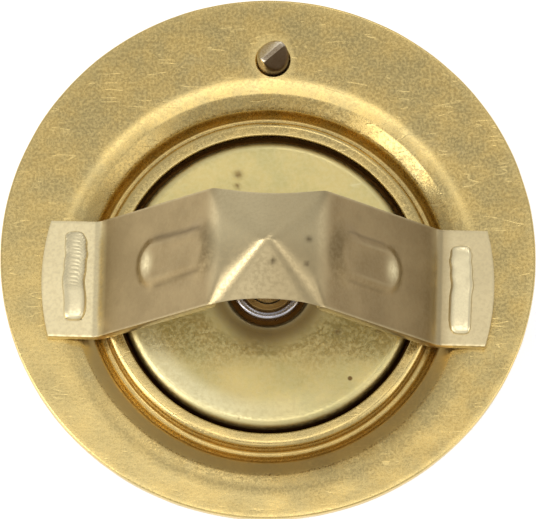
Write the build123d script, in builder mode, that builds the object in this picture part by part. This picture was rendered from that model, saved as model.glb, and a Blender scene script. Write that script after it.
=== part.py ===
from build123d import *
import math
import os

# Wax-element engine thermostat: a pressed brass flange with the valve seat in it, a bridge
# strap over the outlet side, a stirrup frame under it, and a spring-loaded valve plate that
# a wax capsule pushes open against a fixed steel piston. A loose pin vents air at the rim.
#
# Millimetres. The origin is the centre of the flange's round rim, on its upper face, and
# +Z points to the outlet side. The valve is set off the rim's centre, toward -Y.

# ------------------------------------------------------------------ driving dimensions

# flange and seat
flange_radius = 27.0
flange_sheet = 1.1
rim_round = 0.2
valve_offset = 2.6
groove_outer_radius = 20.4
groove_slope_angle = 49.0
groove_depth = 2.3
groove_floor_width = 0.9
groove_wall_angle = 73.0
seat_drop = 0.3
seat_bore_radius = 15.6
seat_lip_depth = 2.6
seat_edge_round = 0.5
seat_back_round = 0.6
groove_floor_round = 0.35
groove_edge_round = 1.0
flange_under_round = 0.5

# bridge strap over the outlet side
strap_turn = -1.4
bridge_sheet = 1.1
bridge_width = 11.7
bridge_foot_margin = 2.65
bridge_fold_margin = 1.55
bridge_shoulder_reach = 5.5
bridge_shoulder_height = 16.2
bridge_apex_height = 20.0
bridge_apex_round = 1.6
bridge_fold_round = 0.7
bridge_shoulder_round = 1.6
bridge_waist = 0.55

# embossed rib on each bridge leg
rib_length = 8.6
rib_foot_radius = 1.85
rib_head_radius = 1.45
rib_height = 0.5
rib_from_fold = 5.6
rib_round = 0.4
rib_wall = 0.5

# stirrup frame under the flange
frame_sheet = 1.4
frame_leg_reach = 19.45
frame_leg_width = 11.0
frame_knee_depth = 9.5
frame_pan_radius = 10.2
frame_ankle_reach = 10.9
frame_bend_round = 1.6
frame_collar_wall = 0.9
frame_collar_height = 2.0
tab_width = 8.2
tab_slot_clearance = 0.1
tab_head_width = 8.8
tab_head_thickness = 2.2
tab_head_height = 0.5
tab_head_round = 0.3

# valve plate
plate_sheet = 1.0
plate_rim_radius = 14.65
plate_rim_round = 1.3
plate_crown_drop = 0.35
plate_crown_radius = 7.0
plate_dish_radius = 4.4
plate_dish_drop = 0.85
plate_pocket_radius = 4.05
plate_pocket_drop = 1.6
plate_flare_radius = 16.3
plate_bend_round = 0.3
plate_pocket_round = 0.15
plate_crown_round = 0.9
plate_under_round = 0.6
seat_clearance = 0.05
valve_travel = 8.0
travel_to_spare = 0.8

# wax capsule and piston
piston_radius = 1.9
piston_tip_radius = 0.7
piston_tip_length = 2.2
piston_clearance = 0.05
piston_tip_clearance = 0.1
guide_neck_radius = 2.85
guide_top_drop = 0.85
guide_body_radius = 4.3
guide_flange_radius = 6.45
guide_flange_depth = 13.6
guide_flange_thickness = 2.0
guide_cavity_height = 2.4
guide_cavity_radius = 4.4
guide_edge_chamfer = 0.3
ring_wall = 0.7
ring_top_drop = 0.45
ring_round = 0.28
fit_clearance = 0.03
disc_thickness = 0.8
plug_stem_height = 0.8
diaphragm_thickness = 1.0
cup_radius = 5.7
cup_wall = 0.8
cup_crimp_lip = 0.7
cup_crimp_inner_radius = 5.1
cup_length = 16.4
cup_end_round = 1.2
cup_shoulder_round = 0.5
cup_guide_clearance = 0.3

# closing spring
spring_wire_radius = 0.9
spring_top_radius = 11.6
spring_seat_clearance = 0.1
spring_foot_clearance = 0.25
spring_turns = 6.0
spring_flat_turns = 0.4
spring_ramp_turns = 0.4
points_per_turn = 8

# loose vent pin near the rim
pin_x = 0.5
pin_from_rim = 6.3
pin_hole_radius = 1.15
pin_sink_radius = 1.8
pin_stem_radius = 0.7
pin_head_radius = 1.45
pin_head_height = 3.0
pin_facet_angle = 52.0
pin_ridge_turn = 41.0
pin_ridge_half_width = 0.28
pin_bob_radius = 1.75
pin_bob_length = 4.2
pin_travel = 1.5
pin_seat_clearance = 0.05

# ------------------------------------------------------------------ shared geometry

valve_centre = Vector(0, -valve_offset, 0)
valve_axis = Axis(valve_centre, (0, 0, 1))
# In this plane a sketch's X is the distance from the valve axis and its Y is the height.
valve_section = Plane(origin=valve_centre, x_dir=(1, 0, 0), z_dir=(0, -1, 0))

# The bridge and the stirrup stand a little askew, so both share one turned frame.
strap_along = Vector(1, 0, 0).rotate(Axis.Z, strap_turn)
strap_across = Vector(0, 1, 0).rotate(Axis.Z, strap_turn)
strap_plan = Plane(origin=valve_centre, x_dir=strap_along, z_dir=(0, 0, 1))
strap_side = Plane(origin=valve_centre, x_dir=strap_along, z_dir=-strap_across)
strap_front = Plane(origin=valve_centre, x_dir=strap_across, z_dir=strap_along)

# Lengths for cutting blocks: one well beyond the whole part, one just past a sheet's face.
beyond = 4 * flange_radius
spare = 1.0

# The bridge's feet and folds are placed from the stirrup's legs, which come up through them.
bridge_foot_reach = frame_leg_reach + frame_sheet / 2 + bridge_foot_margin
bridge_fold_reach = frame_leg_reach - frame_sheet / 2 - bridge_fold_margin

# The stirrup's pan lies deep enough for the capsule's shoulder to stay above its collar.
guide_end = guide_flange_depth + guide_flange_thickness
guide_bore_depth = guide_end - guide_cavity_height
piston_end_depth = guide_bore_depth - plug_stem_height - disc_thickness
cup_shoulder = guide_end + diaphragm_thickness
frame_collar_depth = cup_shoulder + cup_wall + valve_travel + travel_to_spare
frame_pan_depth = frame_collar_depth + frame_collar_height

pin_y = flange_radius - pin_from_rim


def bend_shift(sheet, angle):
    """How far a bend's corner moves along the sheet from one face to the other."""
    return sheet * math.tan(math.radians(angle) / 2)


# ------------------------------------------------------------------ flange

groove_slope_run = groove_depth / math.tan(math.radians(groove_slope_angle))
groove_floor_outer = groove_outer_radius - groove_slope_run
groove_floor_inner = groove_floor_outer - groove_floor_width
groove_wall_lean = 1 / math.tan(math.radians(groove_wall_angle))
ledge_outer_radius = groove_floor_inner - (groove_depth - seat_drop) * groove_wall_lean
groove_under = groove_depth + flange_sheet
under_shift = bend_shift(flange_sheet, groove_slope_angle)
under_inner = groove_floor_inner - bend_shift(flange_sheet, groove_wall_angle)
seat_lip_outer = under_inner - (groove_under - seat_lip_depth) * groove_wall_lean
flange_reach = flange_radius + valve_offset + spare

with BuildPart() as flange:
    with BuildSketch(valve_section):
        with BuildLine():
            FilletPolyline(
                (seat_bore_radius, -seat_lip_depth),
                (seat_bore_radius, -seat_drop),
                (ledge_outer_radius, -seat_drop),
                (groove_floor_inner, -groove_depth),
                (groove_floor_outer, -groove_depth),
                (groove_outer_radius, 0),
                (flange_reach, 0),
                (flange_reach, -flange_sheet),
                (groove_outer_radius + under_shift, -flange_sheet),
                (groove_floor_outer + under_shift, -groove_under),
                (under_inner, -groove_under),
                (seat_lip_outer, -seat_lip_depth),
                radius=[
                    rim_round,
                    seat_edge_round,
                    seat_back_round,
                    groove_floor_round,
                    groove_floor_round,
                    groove_edge_round,
                    0,
                    0,
                    flange_under_round,
                    flange_under_round,
                    flange_under_round,
                    0,
                ],
                close=True,
            )
        make_face()
    revolve(axis=valve_axis)
    # The rim is trimmed round its own centre, so the flat is wider on the vent pin's side.
    with BuildSketch(Plane.XY.offset(-beyond / 2)):
        Circle(flange_radius)
    extrude(amount=beyond, mode=Mode.INTERSECT)
    rim_edges = flange.edges().filter_by(GeomType.CIRCLE).filter_by(
        lambda edge: abs(edge.radius - flange_radius) < 0.001
    )
    fillet(rim_edges, rim_round)
    # Two slots take the stirrup's tabs.
    with BuildSketch(strap_plan.offset(-groove_under - spare)):
        with Locations((-frame_leg_reach, 0), (frame_leg_reach, 0)):
            Rectangle(frame_sheet + 2 * tab_slot_clearance, tab_width + 2 * tab_slot_clearance)
    extrude(amount=groove_under + 2 * spare, mode=Mode.SUBTRACT)
    # The vent pin's hole has a sunk seat on the upper face.
    with Locations((pin_x, pin_y, 0)):
        CounterSinkHole(
            radius=pin_hole_radius,
            counter_sink_radius=pin_sink_radius,
            depth=flange_sheet,
            counter_sink_angle=90,
        )
flange.part.label = "flange"

# ------------------------------------------------------------------ bridge

leg_run = bridge_fold_reach - bridge_shoulder_reach
leg_rise = bridge_shoulder_height - bridge_sheet
leg_angle = math.degrees(math.atan2(leg_rise, leg_run))
roof_side_angle = math.degrees(
    math.atan2(bridge_apex_height - bridge_shoulder_height, bridge_shoulder_reach)
)
roof_front_angle = math.degrees(
    math.atan2(bridge_apex_height - bridge_shoulder_height, bridge_width / 2)
)
# Corners of the inner faces, one sheet in from the outer ones.
inner_foot = bridge_fold_reach - bend_shift(bridge_sheet, leg_angle)
fold_shift = bend_shift(bridge_sheet, leg_angle - roof_side_angle)
inner_shoulder_reach = (
    bridge_shoulder_reach
    - bridge_sheet * math.sin(math.radians(leg_angle))
    + fold_shift * math.cos(math.radians(leg_angle))
)
inner_shoulder_height = (
    bridge_shoulder_height
    - bridge_sheet * math.cos(math.radians(leg_angle))
    - fold_shift * math.sin(math.radians(leg_angle))
)
inner_apex_height = bridge_apex_height - bridge_sheet / math.cos(math.radians(roof_side_angle))
front_eave_height = bridge_shoulder_height - bridge_sheet / math.cos(math.radians(roof_front_angle))

# The space under the sheet: the leg lines and the hipped roof, both one sheet further in.
with BuildPart() as bridge_inside:
    with BuildSketch(strap_side):
        with BuildLine():
            FilletPolyline(
                (-inner_foot, -beyond),
                (-inner_foot, 0),
                (-inner_shoulder_reach, inner_shoulder_height),
                (0, inner_apex_height),
                (inner_shoulder_reach, inner_shoulder_height),
                (inner_foot, 0),
                (inner_foot, -beyond),
                radius=[
                    0,
                    bridge_fold_round + bridge_sheet,
                    bridge_shoulder_round - bridge_sheet,
                    bridge_apex_round - bridge_sheet,
                    bridge_shoulder_round - bridge_sheet,
                    bridge_fold_round + bridge_sheet,
                    0,
                ],
                close=True,
            )
        make_face()
    extrude(amount=beyond / 2, both=True)
    with BuildSketch(strap_front):
        with BuildLine():
            Polyline(
                (-beyond / 2, -2 * beyond),
                (-beyond / 2, front_eave_height),
                (-bridge_width / 2, front_eave_height),
                (0, inner_apex_height),
                (bridge_width / 2, front_eave_height),
                (beyond / 2, front_eave_height),
                (beyond / 2, -2 * beyond),
                close=True,
            )
        make_face()
    extrude(amount=beyond / 2, both=True, mode=Mode.INTERSECT)

with BuildPart() as bridge:
    with BuildSketch(strap_side):
        with BuildLine():
            FilletPolyline(
                (-beyond / 2, 0),
                (-beyond / 2, bridge_sheet),
                (-bridge_fold_reach, bridge_sheet),
                (-bridge_shoulder_reach, bridge_shoulder_height),
                (0, bridge_apex_height),
                (bridge_shoulder_reach, bridge_shoulder_height),
                (bridge_fold_reach, bridge_sheet),
                (beyond / 2, bridge_sheet),
                (beyond / 2, 0),
                radius=[
                    0,
                    0,
                    bridge_fold_round,
                    bridge_shoulder_round,
                    bridge_apex_round,
                    bridge_shoulder_round,
                    bridge_fold_round,
                    0,
                    0,
                ],
                close=True,
            )
        make_face()
    extrude(amount=bridge_width / 2, both=True)
    with BuildSketch(strap_front):
        with BuildLine():
            FilletPolyline(
                (-bridge_width / 2, -spare),
                (-bridge_width / 2, bridge_shoulder_height),
                (0, bridge_apex_height),
                (bridge_width / 2, bridge_shoulder_height),
                (bridge_width / 2, -spare),
                radius=[0, 0, bridge_apex_round, 0, 0],
                close=True,
            )
        make_face()
    extrude(amount=beyond / 2, both=True, mode=Mode.INTERSECT)
    add(bridge_inside.part, mode=Mode.SUBTRACT)
    # The ends of the feet follow a circle about the valve.
    with BuildSketch(strap_plan):
        Circle(bridge_foot_reach)
    extrude(amount=beyond, mode=Mode.INTERSECT)
    # Pressing up the hip roof draws the strap's edges in between its corners.
    waist_half_span = bridge_shoulder_reach
    waist_radius = (waist_half_span**2 + bridge_waist**2) / (2 * bridge_waist)
    with BuildSketch(strap_plan.offset(-spare)):
        for side in (-1, 1):
            with Locations((0, side * (bridge_width / 2 - bridge_waist + waist_radius))):
                Circle(waist_radius)
    extrude(amount=beyond, mode=Mode.SUBTRACT)
    # Each leg has a rib pressed outward from it, hollow behind.
    for side in (-1, 1):
        leg_line = strap_along * (-side * leg_run) + Vector(0, 0, leg_rise)
        leg_foot = valve_centre + strap_along * (side * bridge_fold_reach) + Vector(0, 0, bridge_sheet)
        rib_start = leg_foot + leg_line.normalized() * rib_from_fold
        leg_face = Plane(origin=rib_start, x_dir=leg_line, z_dir=(strap_across * side).cross(leg_line))
        with BuildSketch(leg_face):
            Circle(rib_foot_radius)
            with Locations((rib_length - rib_head_radius, 0)):
                Circle(rib_head_radius)
            make_hull()
        extrude(amount=rib_height)
        rib_top = [
            face
            for face in bridge.faces().filter_by(GeomType.PLANE)
            if abs(leg_face.to_local_coords(face.center()).Z - rib_height) < rib_height / 10
            and face.normal_at().dot(leg_face.z_dir) > 0.999
        ]
        fillet(rib_top[0].edges(), rib_round)
        with BuildSketch(leg_face.offset(-bridge_sheet)):
            Circle(rib_foot_radius - rib_wall)
            with Locations((rib_length - rib_head_radius, 0)):
                Circle(rib_head_radius - rib_wall)
            make_hull()
        extrude(amount=rib_height, mode=Mode.SUBTRACT)
    with BuildSketch(strap_plan.offset(-spare)):
        with Locations((-frame_leg_reach, 0), (frame_leg_reach, 0)):
            Rectangle(frame_sheet + 2 * tab_slot_clearance, tab_width + 2 * tab_slot_clearance)
    extrude(amount=bridge_sheet + 2 * spare, mode=Mode.SUBTRACT)
bridge.part.label = "bridge"

# ------------------------------------------------------------------ stirrup frame

pan_middle = frame_pan_depth + frame_sheet / 2
collar_bore_radius = cup_radius + cup_guide_clearance
collar_outer_radius = collar_bore_radius + frame_collar_wall

with BuildPart() as lower_frame:
    # The strap runs down one side, across the pan and up the other side.
    with BuildSketch(strap_side):
        with BuildLine():
            FilletPolyline(
                (-frame_leg_reach, bridge_sheet),
                (-frame_leg_reach, -frame_knee_depth),
                (-frame_ankle_reach, -pan_middle),
                (frame_ankle_reach, -pan_middle),
                (frame_leg_reach, -frame_knee_depth),
                (frame_leg_reach, bridge_sheet),
                radius=frame_bend_round,
            )
        trace(line_width=frame_sheet)
    extrude(amount=frame_leg_width / 2, both=True)
    # Above the shoulders only the tabs are left, which pass through the flange.
    with BuildSketch(strap_plan.offset(-groove_under)):
        Rectangle(beyond, frame_leg_width)
        Rectangle(beyond, tab_width, mode=Mode.SUBTRACT)
    extrude(amount=beyond, mode=Mode.SUBTRACT)
    # The pan widens the strap to a disc under the spring.
    with BuildSketch(strap_plan.offset(-frame_pan_depth)):
        Circle(frame_pan_radius)
    extrude(amount=-frame_sheet)
    with BuildSketch(strap_plan.offset(-frame_pan_depth - frame_sheet)):
        Circle(collar_outer_radius)
    extrude(amount=frame_sheet + frame_collar_height)
    with BuildSketch(strap_plan.offset(-frame_pan_depth - frame_sheet)):
        Circle(collar_bore_radius)
    extrude(amount=frame_sheet + frame_collar_height, mode=Mode.SUBTRACT)
    # The tab ends are hammered over on the bridge's feet.
    with BuildSketch(strap_plan.offset(bridge_sheet)):
        with Locations((-frame_leg_reach, 0), (frame_leg_reach, 0)):
            RectangleRounded(tab_head_thickness, tab_head_width, tab_head_thickness / 3)
    extrude(amount=tab_head_height)
    head_rims = lower_frame.faces().sort_by(Axis.Z)[-2:].edges()
    fillet(head_rims, tab_head_round)
lower_frame.part.label = "lower_frame"

# ------------------------------------------------------------------ valve plate

plate_hole_radius = guide_neck_radius + fit_clearance
flare_top = seat_lip_depth + seat_clearance
plate_side_inner = plate_rim_radius - plate_sheet

with BuildPart() as valve_plate:
    with BuildSketch(valve_section):
        with BuildLine():
            FilletPolyline(
                (plate_hole_radius, -plate_pocket_drop),
                (plate_pocket_radius, -plate_pocket_drop),
                (plate_dish_radius, -plate_dish_drop),
                (plate_crown_radius, -plate_crown_drop),
                (plate_rim_radius, -plate_crown_drop),
                (plate_rim_radius, -flare_top),
                (plate_flare_radius, -flare_top),
                (plate_flare_radius, -flare_top - plate_sheet),
                (plate_side_inner, -flare_top - plate_sheet),
                (plate_side_inner, -plate_crown_drop - plate_sheet),
                (plate_crown_radius, -plate_crown_drop - plate_sheet),
                (plate_dish_radius, -plate_pocket_drop - plate_sheet),
                (plate_hole_radius, -plate_pocket_drop - plate_sheet),
                radius=[
                    0,
                    plate_pocket_round,
                    plate_bend_round,
                    plate_crown_round,
                    plate_rim_round,
                    plate_bend_round,
                    plate_bend_round,
                    plate_bend_round,
                    plate_under_round,
                    plate_bend_round,
                    plate_bend_round,
                    plate_bend_round,
                    0,
                ],
                close=True,
            )
        make_face()
    revolve(axis=valve_axis)
valve_plate.part.label = "valve_plate"

# ------------------------------------------------------------------ wax capsule

guide_bore_radius = piston_radius + piston_clearance
guide_shoulder = plate_pocket_drop + plate_sheet
cup_end = cup_shoulder + cup_length
crimp_bore_radius = guide_flange_radius + fit_clearance
crimp_outer_radius = crimp_bore_radius + cup_wall

with BuildPart() as capsule_guide:
    with BuildSketch(valve_section):
        with BuildLine():
            Polyline(
                (guide_bore_radius, -guide_top_drop),
                (guide_neck_radius - guide_edge_chamfer, -guide_top_drop),
                (guide_neck_radius, -guide_top_drop - guide_edge_chamfer),
                (guide_neck_radius, -guide_shoulder),
                (guide_body_radius, -guide_shoulder),
                (guide_body_radius, -guide_flange_depth),
                (guide_flange_radius, -guide_flange_depth),
                (guide_flange_radius, -guide_end),
                (guide_cavity_radius, -guide_end),
                (guide_bore_radius, -guide_bore_depth),
                close=True,
            )
        make_face()
    revolve(axis=valve_axis)
capsule_guide.part.label = "capsule_guide"

with BuildPart() as retaining_ring:
    with BuildSketch(valve_section):
        with BuildLine():
            FilletPolyline(
                (plate_hole_radius, -plate_pocket_drop),
                (plate_hole_radius + ring_wall, -plate_pocket_drop),
                (plate_hole_radius + ring_wall, -ring_top_drop),
                (plate_hole_radius, -ring_top_drop),
                radius=[0, 0, ring_round, ring_round],
                close=True,
            )
        make_face()
    revolve(axis=valve_axis)
retaining_ring.part.label = "retaining_ring"

with BuildPart() as piston:
    piston_tip = (
        inner_apex_height
        - piston_tip_radius * math.tan(math.radians(roof_side_angle))
        - piston_tip_clearance
    )
    with BuildSketch(valve_section):
        with BuildLine():
            Polyline(
                (0, -piston_end_depth),
                (piston_radius, -piston_end_depth),
                (piston_radius, piston_tip - piston_tip_length),
                (piston_tip_radius, piston_tip),
                (0, piston_tip),
                close=True,
            )
        make_face()
    revolve(axis=valve_axis)
    fillet(piston.edges().filter_by(GeomType.CIRCLE).sort_by(Axis.Z)[-1], piston_tip_radius / 3)
piston.part.label = "piston"

with BuildPart() as backup_disc:
    with BuildSketch(valve_section):
        with BuildLine():
            Polyline(
                (0, -piston_end_depth),
                (piston_radius, -piston_end_depth),
                (piston_radius, -piston_end_depth - disc_thickness),
                (0, -piston_end_depth - disc_thickness),
                close=True,
            )
        make_face()
    revolve(axis=valve_axis)
backup_disc.part.label = "backup_disc"

with BuildPart() as rubber_plug:
    with BuildSketch(valve_section):
        with BuildLine():
            Polyline(
                (0, -piston_end_depth - disc_thickness),
                (piston_radius, -piston_end_depth - disc_thickness),
                (piston_radius, -guide_bore_depth),
                (guide_cavity_radius - piston_clearance, -guide_end),
                (0, -guide_end),
                close=True,
            )
        make_face()
    revolve(axis=valve_axis)
rubber_plug.part.label = "rubber_plug"

with BuildPart() as diaphragm:
    with BuildSketch(strap_plan.offset(-cup_shoulder)):
        Circle(guide_flange_radius)
    extrude(amount=diaphragm_thickness)
diaphragm.part.label = "diaphragm"

with BuildPart() as capsule_cup:
    with BuildSketch(valve_section):
        with BuildLine():
            FilletPolyline(
                (cup_crimp_inner_radius, -guide_flange_depth),
                (cup_crimp_inner_radius, -guide_flange_depth + cup_crimp_lip),
                (crimp_outer_radius, -guide_flange_depth + cup_crimp_lip),
                (crimp_outer_radius, -cup_shoulder - cup_wall),
                (cup_radius, -cup_shoulder - cup_wall),
                (cup_radius, -cup_end),
                (0, -cup_end),
                (0, -cup_end + cup_wall),
                (cup_radius - cup_wall, -cup_end + cup_wall),
                (cup_radius - cup_wall, -cup_shoulder),
                (crimp_bore_radius, -cup_shoulder),
                (crimp_bore_radius, -guide_flange_depth),
                radius=[
                    0,
                    cup_shoulder_round / 2,
                    cup_shoulder_round,
                    cup_shoulder_round,
                    cup_shoulder_round,
                    cup_end_round,
                    0,
                    0,
                    cup_shoulder_round,
                    0,
                    0,
                    0,
                ],
                close=True,
            )
        make_face()
    revolve(axis=valve_axis)
capsule_cup.part.label = "capsule_cup"

with BuildPart() as wax_charge:
    wax_radius = cup_radius - cup_wall - fit_clearance
    with BuildSketch(strap_plan.offset(-cup_shoulder)):
        Circle(wax_radius)
    extrude(amount=-(cup_length - cup_wall))
    fillet(wax_charge.edges().sort_by(Axis.Z)[0], cup_shoulder_round)
wax_charge.part.label = "wax_charge"

# ------------------------------------------------------------------ closing spring

spring_foot_radius = collar_outer_radius + spring_foot_clearance + spring_wire_radius
spring_bottom = -frame_pan_depth + spring_wire_radius + spring_seat_clearance
spring_top = -plate_crown_drop - plate_sheet - spring_wire_radius - spring_seat_clearance
spring_pitch = (spring_top - spring_bottom) / (spring_turns - 2 * spring_flat_turns - spring_ramp_turns)


def coil_rise(turn):
    """Turns' worth of full pitch gained by this turn: flat at first, then eased in."""
    eased = min(max(turn - spring_flat_turns, 0), spring_ramp_turns)
    ramp = (eased - spring_ramp_turns / math.pi * math.sin(math.pi * eased / spring_ramp_turns)) / 2
    return ramp + max(turn - spring_flat_turns - spring_ramp_turns, 0)


def coil_point(turn):
    """A point of the wire's centre line, so many turns up from the lower end."""
    half = spring_turns / 2
    if turn <= half:
        height = spring_bottom + spring_pitch * coil_rise(turn)
    else:
        height = spring_top - spring_pitch * coil_rise(spring_turns - turn)
    radius = spring_foot_radius + (spring_top_radius - spring_foot_radius) * turn / spring_turns
    angle = 2 * math.pi * turn
    return valve_centre + Vector(radius * math.cos(angle), radius * math.sin(angle), height)


with BuildPart() as main_spring:
    coil_steps = round(spring_turns * points_per_turn)
    with BuildLine() as coil:
        Spline(*[coil_point(spring_turns * step / coil_steps) for step in range(coil_steps + 1)])
    with BuildSketch(Plane(origin=coil.line @ 0, z_dir=coil.line % 0)):
        Circle(spring_wire_radius)
    sweep(path=coil.line)
main_spring.part.label = "main_spring"

# ------------------------------------------------------------------ vent pin

pin_axis = Axis((pin_x, pin_y, 0), (0, 0, 1))
pin_section = Plane(origin=(pin_x, pin_y, 0), x_dir=(1, 0, 0), z_dir=(0, -1, 0))
# The head's cone rests in the sunk hole, whose sides slope at 45 degrees.
pin_cone_top = pin_head_radius - pin_sink_radius + pin_seat_clearance * math.sqrt(2)
pin_cone_foot = pin_cone_top - (pin_head_radius - pin_stem_radius)
pin_bob_top = flange_sheet + pin_travel + pin_seat_clearance

with BuildPart() as vent_pin:
    with BuildSketch(pin_section):
        with BuildLine():
            FilletPolyline(
                (0, -pin_bob_top - pin_bob_length),
                (pin_bob_radius, -pin_bob_top - pin_bob_length),
                (pin_bob_radius, -pin_bob_top),
                (pin_stem_radius, -pin_bob_top),
                (pin_stem_radius, pin_cone_foot),
                (pin_head_radius, pin_cone_top),
                (pin_head_radius, pin_head_height / 2),
                (pin_head_radius / 2, pin_head_height),
                (0, pin_head_height),
                radius=[
                    0,
                    pin_bob_radius / 2,
                    pin_bob_radius / 4,
                    0,
                    0,
                    pin_stem_radius / 2,
                    pin_head_radius / 2,
                    pin_head_radius / 4,
                    0,
                ],
                close=True,
            )
        make_face()
    revolve(axis=pin_axis)
    # The top is pinched to a ridge by two sloping facets.
    facet_drop = beyond * math.tan(math.radians(pin_facet_angle))
    ridge_along = Vector(1, 0, 0).rotate(Axis.Z, pin_ridge_turn)
    ridge_end = Plane(
        origin=(pin_x, pin_y, pin_head_height),
        x_dir=Vector(0, 0, 1).cross(ridge_along),
        z_dir=ridge_along,
    )
    for side in (-1, 1):
        with BuildSketch(ridge_end):
            with BuildLine():
                Polyline(
                    (side * pin_ridge_half_width, 0),
                    (side * (pin_ridge_half_width + beyond), -facet_drop),
                    (side * (pin_ridge_half_width + beyond), beyond),
                    (side * pin_ridge_half_width, beyond),
                    close=True,
                )
            make_face()
        extrude(amount=beyond, both=True, mode=Mode.SUBTRACT)
vent_pin.part.label = "vent_pin"

# ------------------------------------------------------------------ export

os.makedirs("parts", exist_ok=True)
export_step(flange.part, "parts/flange.step")
export_step(bridge.part, "parts/bridge.step")
export_step(lower_frame.part, "parts/lower_frame.step")
export_step(valve_plate.part, "parts/valve_plate.step")
export_step(retaining_ring.part, "parts/retaining_ring.step")
export_step(capsule_guide.part, "parts/capsule_guide.step")
export_step(capsule_cup.part, "parts/capsule_cup.step")
export_step(wax_charge.part, "parts/wax_charge.step")
export_step(diaphragm.part, "parts/diaphragm.step")
export_step(rubber_plug.part, "parts/rubber_plug.step")
export_step(backup_disc.part, "parts/backup_disc.step")
export_step(piston.part, "parts/piston.step")
export_step(main_spring.part, "parts/main_spring.step")
export_step(vent_pin.part, "parts/vent_pin.step")
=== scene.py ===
"""Dresses the solids of a wax-element engine thermostat in worn brass, steel and rubber.

Lengths are written in millimetres in the sizes of each class and turned into metres by MM.
Every shape is laid out about the valve's own axis, which stands off the rim's centre, and
the two straps share one frame that is turned a little about that axis.
"""

import logging
import math
from collections.abc import Callable, Sequence
from dataclasses import dataclass, field
from enum import Enum

import bmesh
import bpy
from mathutils import Matrix, Vector, noise


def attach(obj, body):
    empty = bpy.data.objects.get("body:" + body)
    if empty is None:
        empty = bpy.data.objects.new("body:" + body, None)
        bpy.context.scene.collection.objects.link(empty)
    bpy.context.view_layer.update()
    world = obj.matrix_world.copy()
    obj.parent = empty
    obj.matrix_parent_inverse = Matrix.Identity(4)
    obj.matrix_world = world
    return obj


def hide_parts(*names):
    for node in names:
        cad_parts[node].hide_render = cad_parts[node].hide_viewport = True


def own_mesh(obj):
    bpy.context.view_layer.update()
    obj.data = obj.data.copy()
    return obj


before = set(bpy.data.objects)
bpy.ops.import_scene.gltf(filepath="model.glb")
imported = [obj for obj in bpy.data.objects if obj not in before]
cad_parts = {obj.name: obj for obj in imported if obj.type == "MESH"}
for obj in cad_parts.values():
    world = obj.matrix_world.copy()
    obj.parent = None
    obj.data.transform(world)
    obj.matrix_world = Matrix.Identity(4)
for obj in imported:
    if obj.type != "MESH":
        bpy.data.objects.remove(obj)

LOG = logging.getLogger("thermostat")
MM = 0.001
UP = Vector((0.0, 0.0, 1.0))


class Body(Enum):
    """The bodies that move apart from each other."""

    ROOT = "root"
    VALVE = "valve"
    VENT = "vent"


class Slot(Enum):
    """The record's material slots, listed with the pieces."""

    PRESSED = "brass_pressed"
    STRAP = "brass_strap"
    PLATE = "brass_plate"
    TURNED = "brass_turned"
    CUP = "brass_cup"
    PIN = "brass_pin"
    RING = "steel_ring"
    PISTON = "steel_pin"
    SPRING = "spring_steel"
    RUBBER = "rubber"
    WAX = "wax"
    DISC = "disc_plastic"


# ---------------------------------------------------------------- layout shared by the pieces


@dataclass(frozen=True)
class Layout:
    """Where the valve's axis and the vent pin stand, and how the straps are turned."""

    valve_offset: float = 2.6
    strap_turn_deg: float = -1.4
    pin_place: tuple[float, float] = (0.5, 20.7)

    @property
    def valve_centre(self) -> Vector:
        """The point where the valve's axis meets the flange's upper face, in metres."""
        return Vector((0.0, -self.valve_offset * MM, 0.0))

    @property
    def pin_centre(self) -> Vector:
        """The point where the vent pin's axis meets the flange's upper face, in metres."""
        return Vector((self.pin_place[0] * MM, self.pin_place[1] * MM, 0.0))

    @property
    def strap_frame(self) -> Matrix:
        """The matrix from a strap's own millimetres to the frame's metres."""
        turn = Matrix.Rotation(math.radians(self.strap_turn_deg), 4, "Z")
        return Matrix.Translation(self.valve_centre) @ turn @ Matrix.Scale(MM, 4)


LAYOUT = Layout()


@dataclass(frozen=True)
class Corner:
    """A corner of a turned profile: distance from the axis, height, and radius of its round."""

    reach: float
    height: float
    round: float = 0.0

    @property
    def point(self) -> Vector:
        """The corner as a flat vector."""
        return Vector((self.reach, self.height))


def arc_of(before: Corner, here: Corner, after: Corner, step_deg: float) -> list[Vector]:
    """Rounds one corner.

    Args:
        before: The corner that the profile comes from.
        here: The corner to round.
        after: The corner that the profile goes to.
        step_deg: The most that one step of the arc may turn.

    Returns:
        The points of the arc, or the corner alone where it is sharp.
    """
    if here.round == 0.0:
        return [here.point]
    back = (before.point - here.point).normalized()
    ahead = (after.point - here.point).normalized()
    inside = back.angle(ahead)
    centre = here.point + (back + ahead).normalized() * (here.round / math.sin(inside / 2))
    reach = here.round / math.tan(inside / 2)
    arm = here.point + back * reach - centre
    end = here.point + ahead * reach - centre
    turn = math.copysign(math.pi - inside, arm.x * end.y - arm.y * end.x)
    steps = max(2, math.ceil(abs(math.degrees(turn)) / step_deg))
    points = []
    for step in range(steps + 1):
        swing = Matrix.Rotation(turn * step / steps, 2)
        points.append(centre + swing @ arm)
    return points


def rounded(
    corners: Sequence[Corner], closed: bool, step_deg: float = 7.5, longest: float = 0.8
) -> list[Vector]:
    """Rounds a profile's corners and divides its long straight runs.

    Args:
        corners: The profile's corners in order.
        closed: Whether the last corner joins the first.
        step_deg: The most that one step of an arc may turn.
        longest: The longest straight step, in millimetres.

    Returns:
        The profile's points as flat vectors of reach and height.
    """
    raw: list[Vector] = []
    count = len(corners)
    for index, corner in enumerate(corners):
        raw += arc_of(corners[index - 1], corner, corners[(index + 1) % count], step_deg)
    if closed:
        raw.append(raw[0])
    points = [raw[0]]
    for target in raw[1:]:
        start = points[-1]
        pieces = max(1, math.ceil((target - start).length / longest))
        points += [start.lerp(target, piece / pieces) for piece in range(1, pieces + 1)]
    return points[:-1] if closed else points


# ---------------------------------------------------------------- mesh tools


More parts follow.
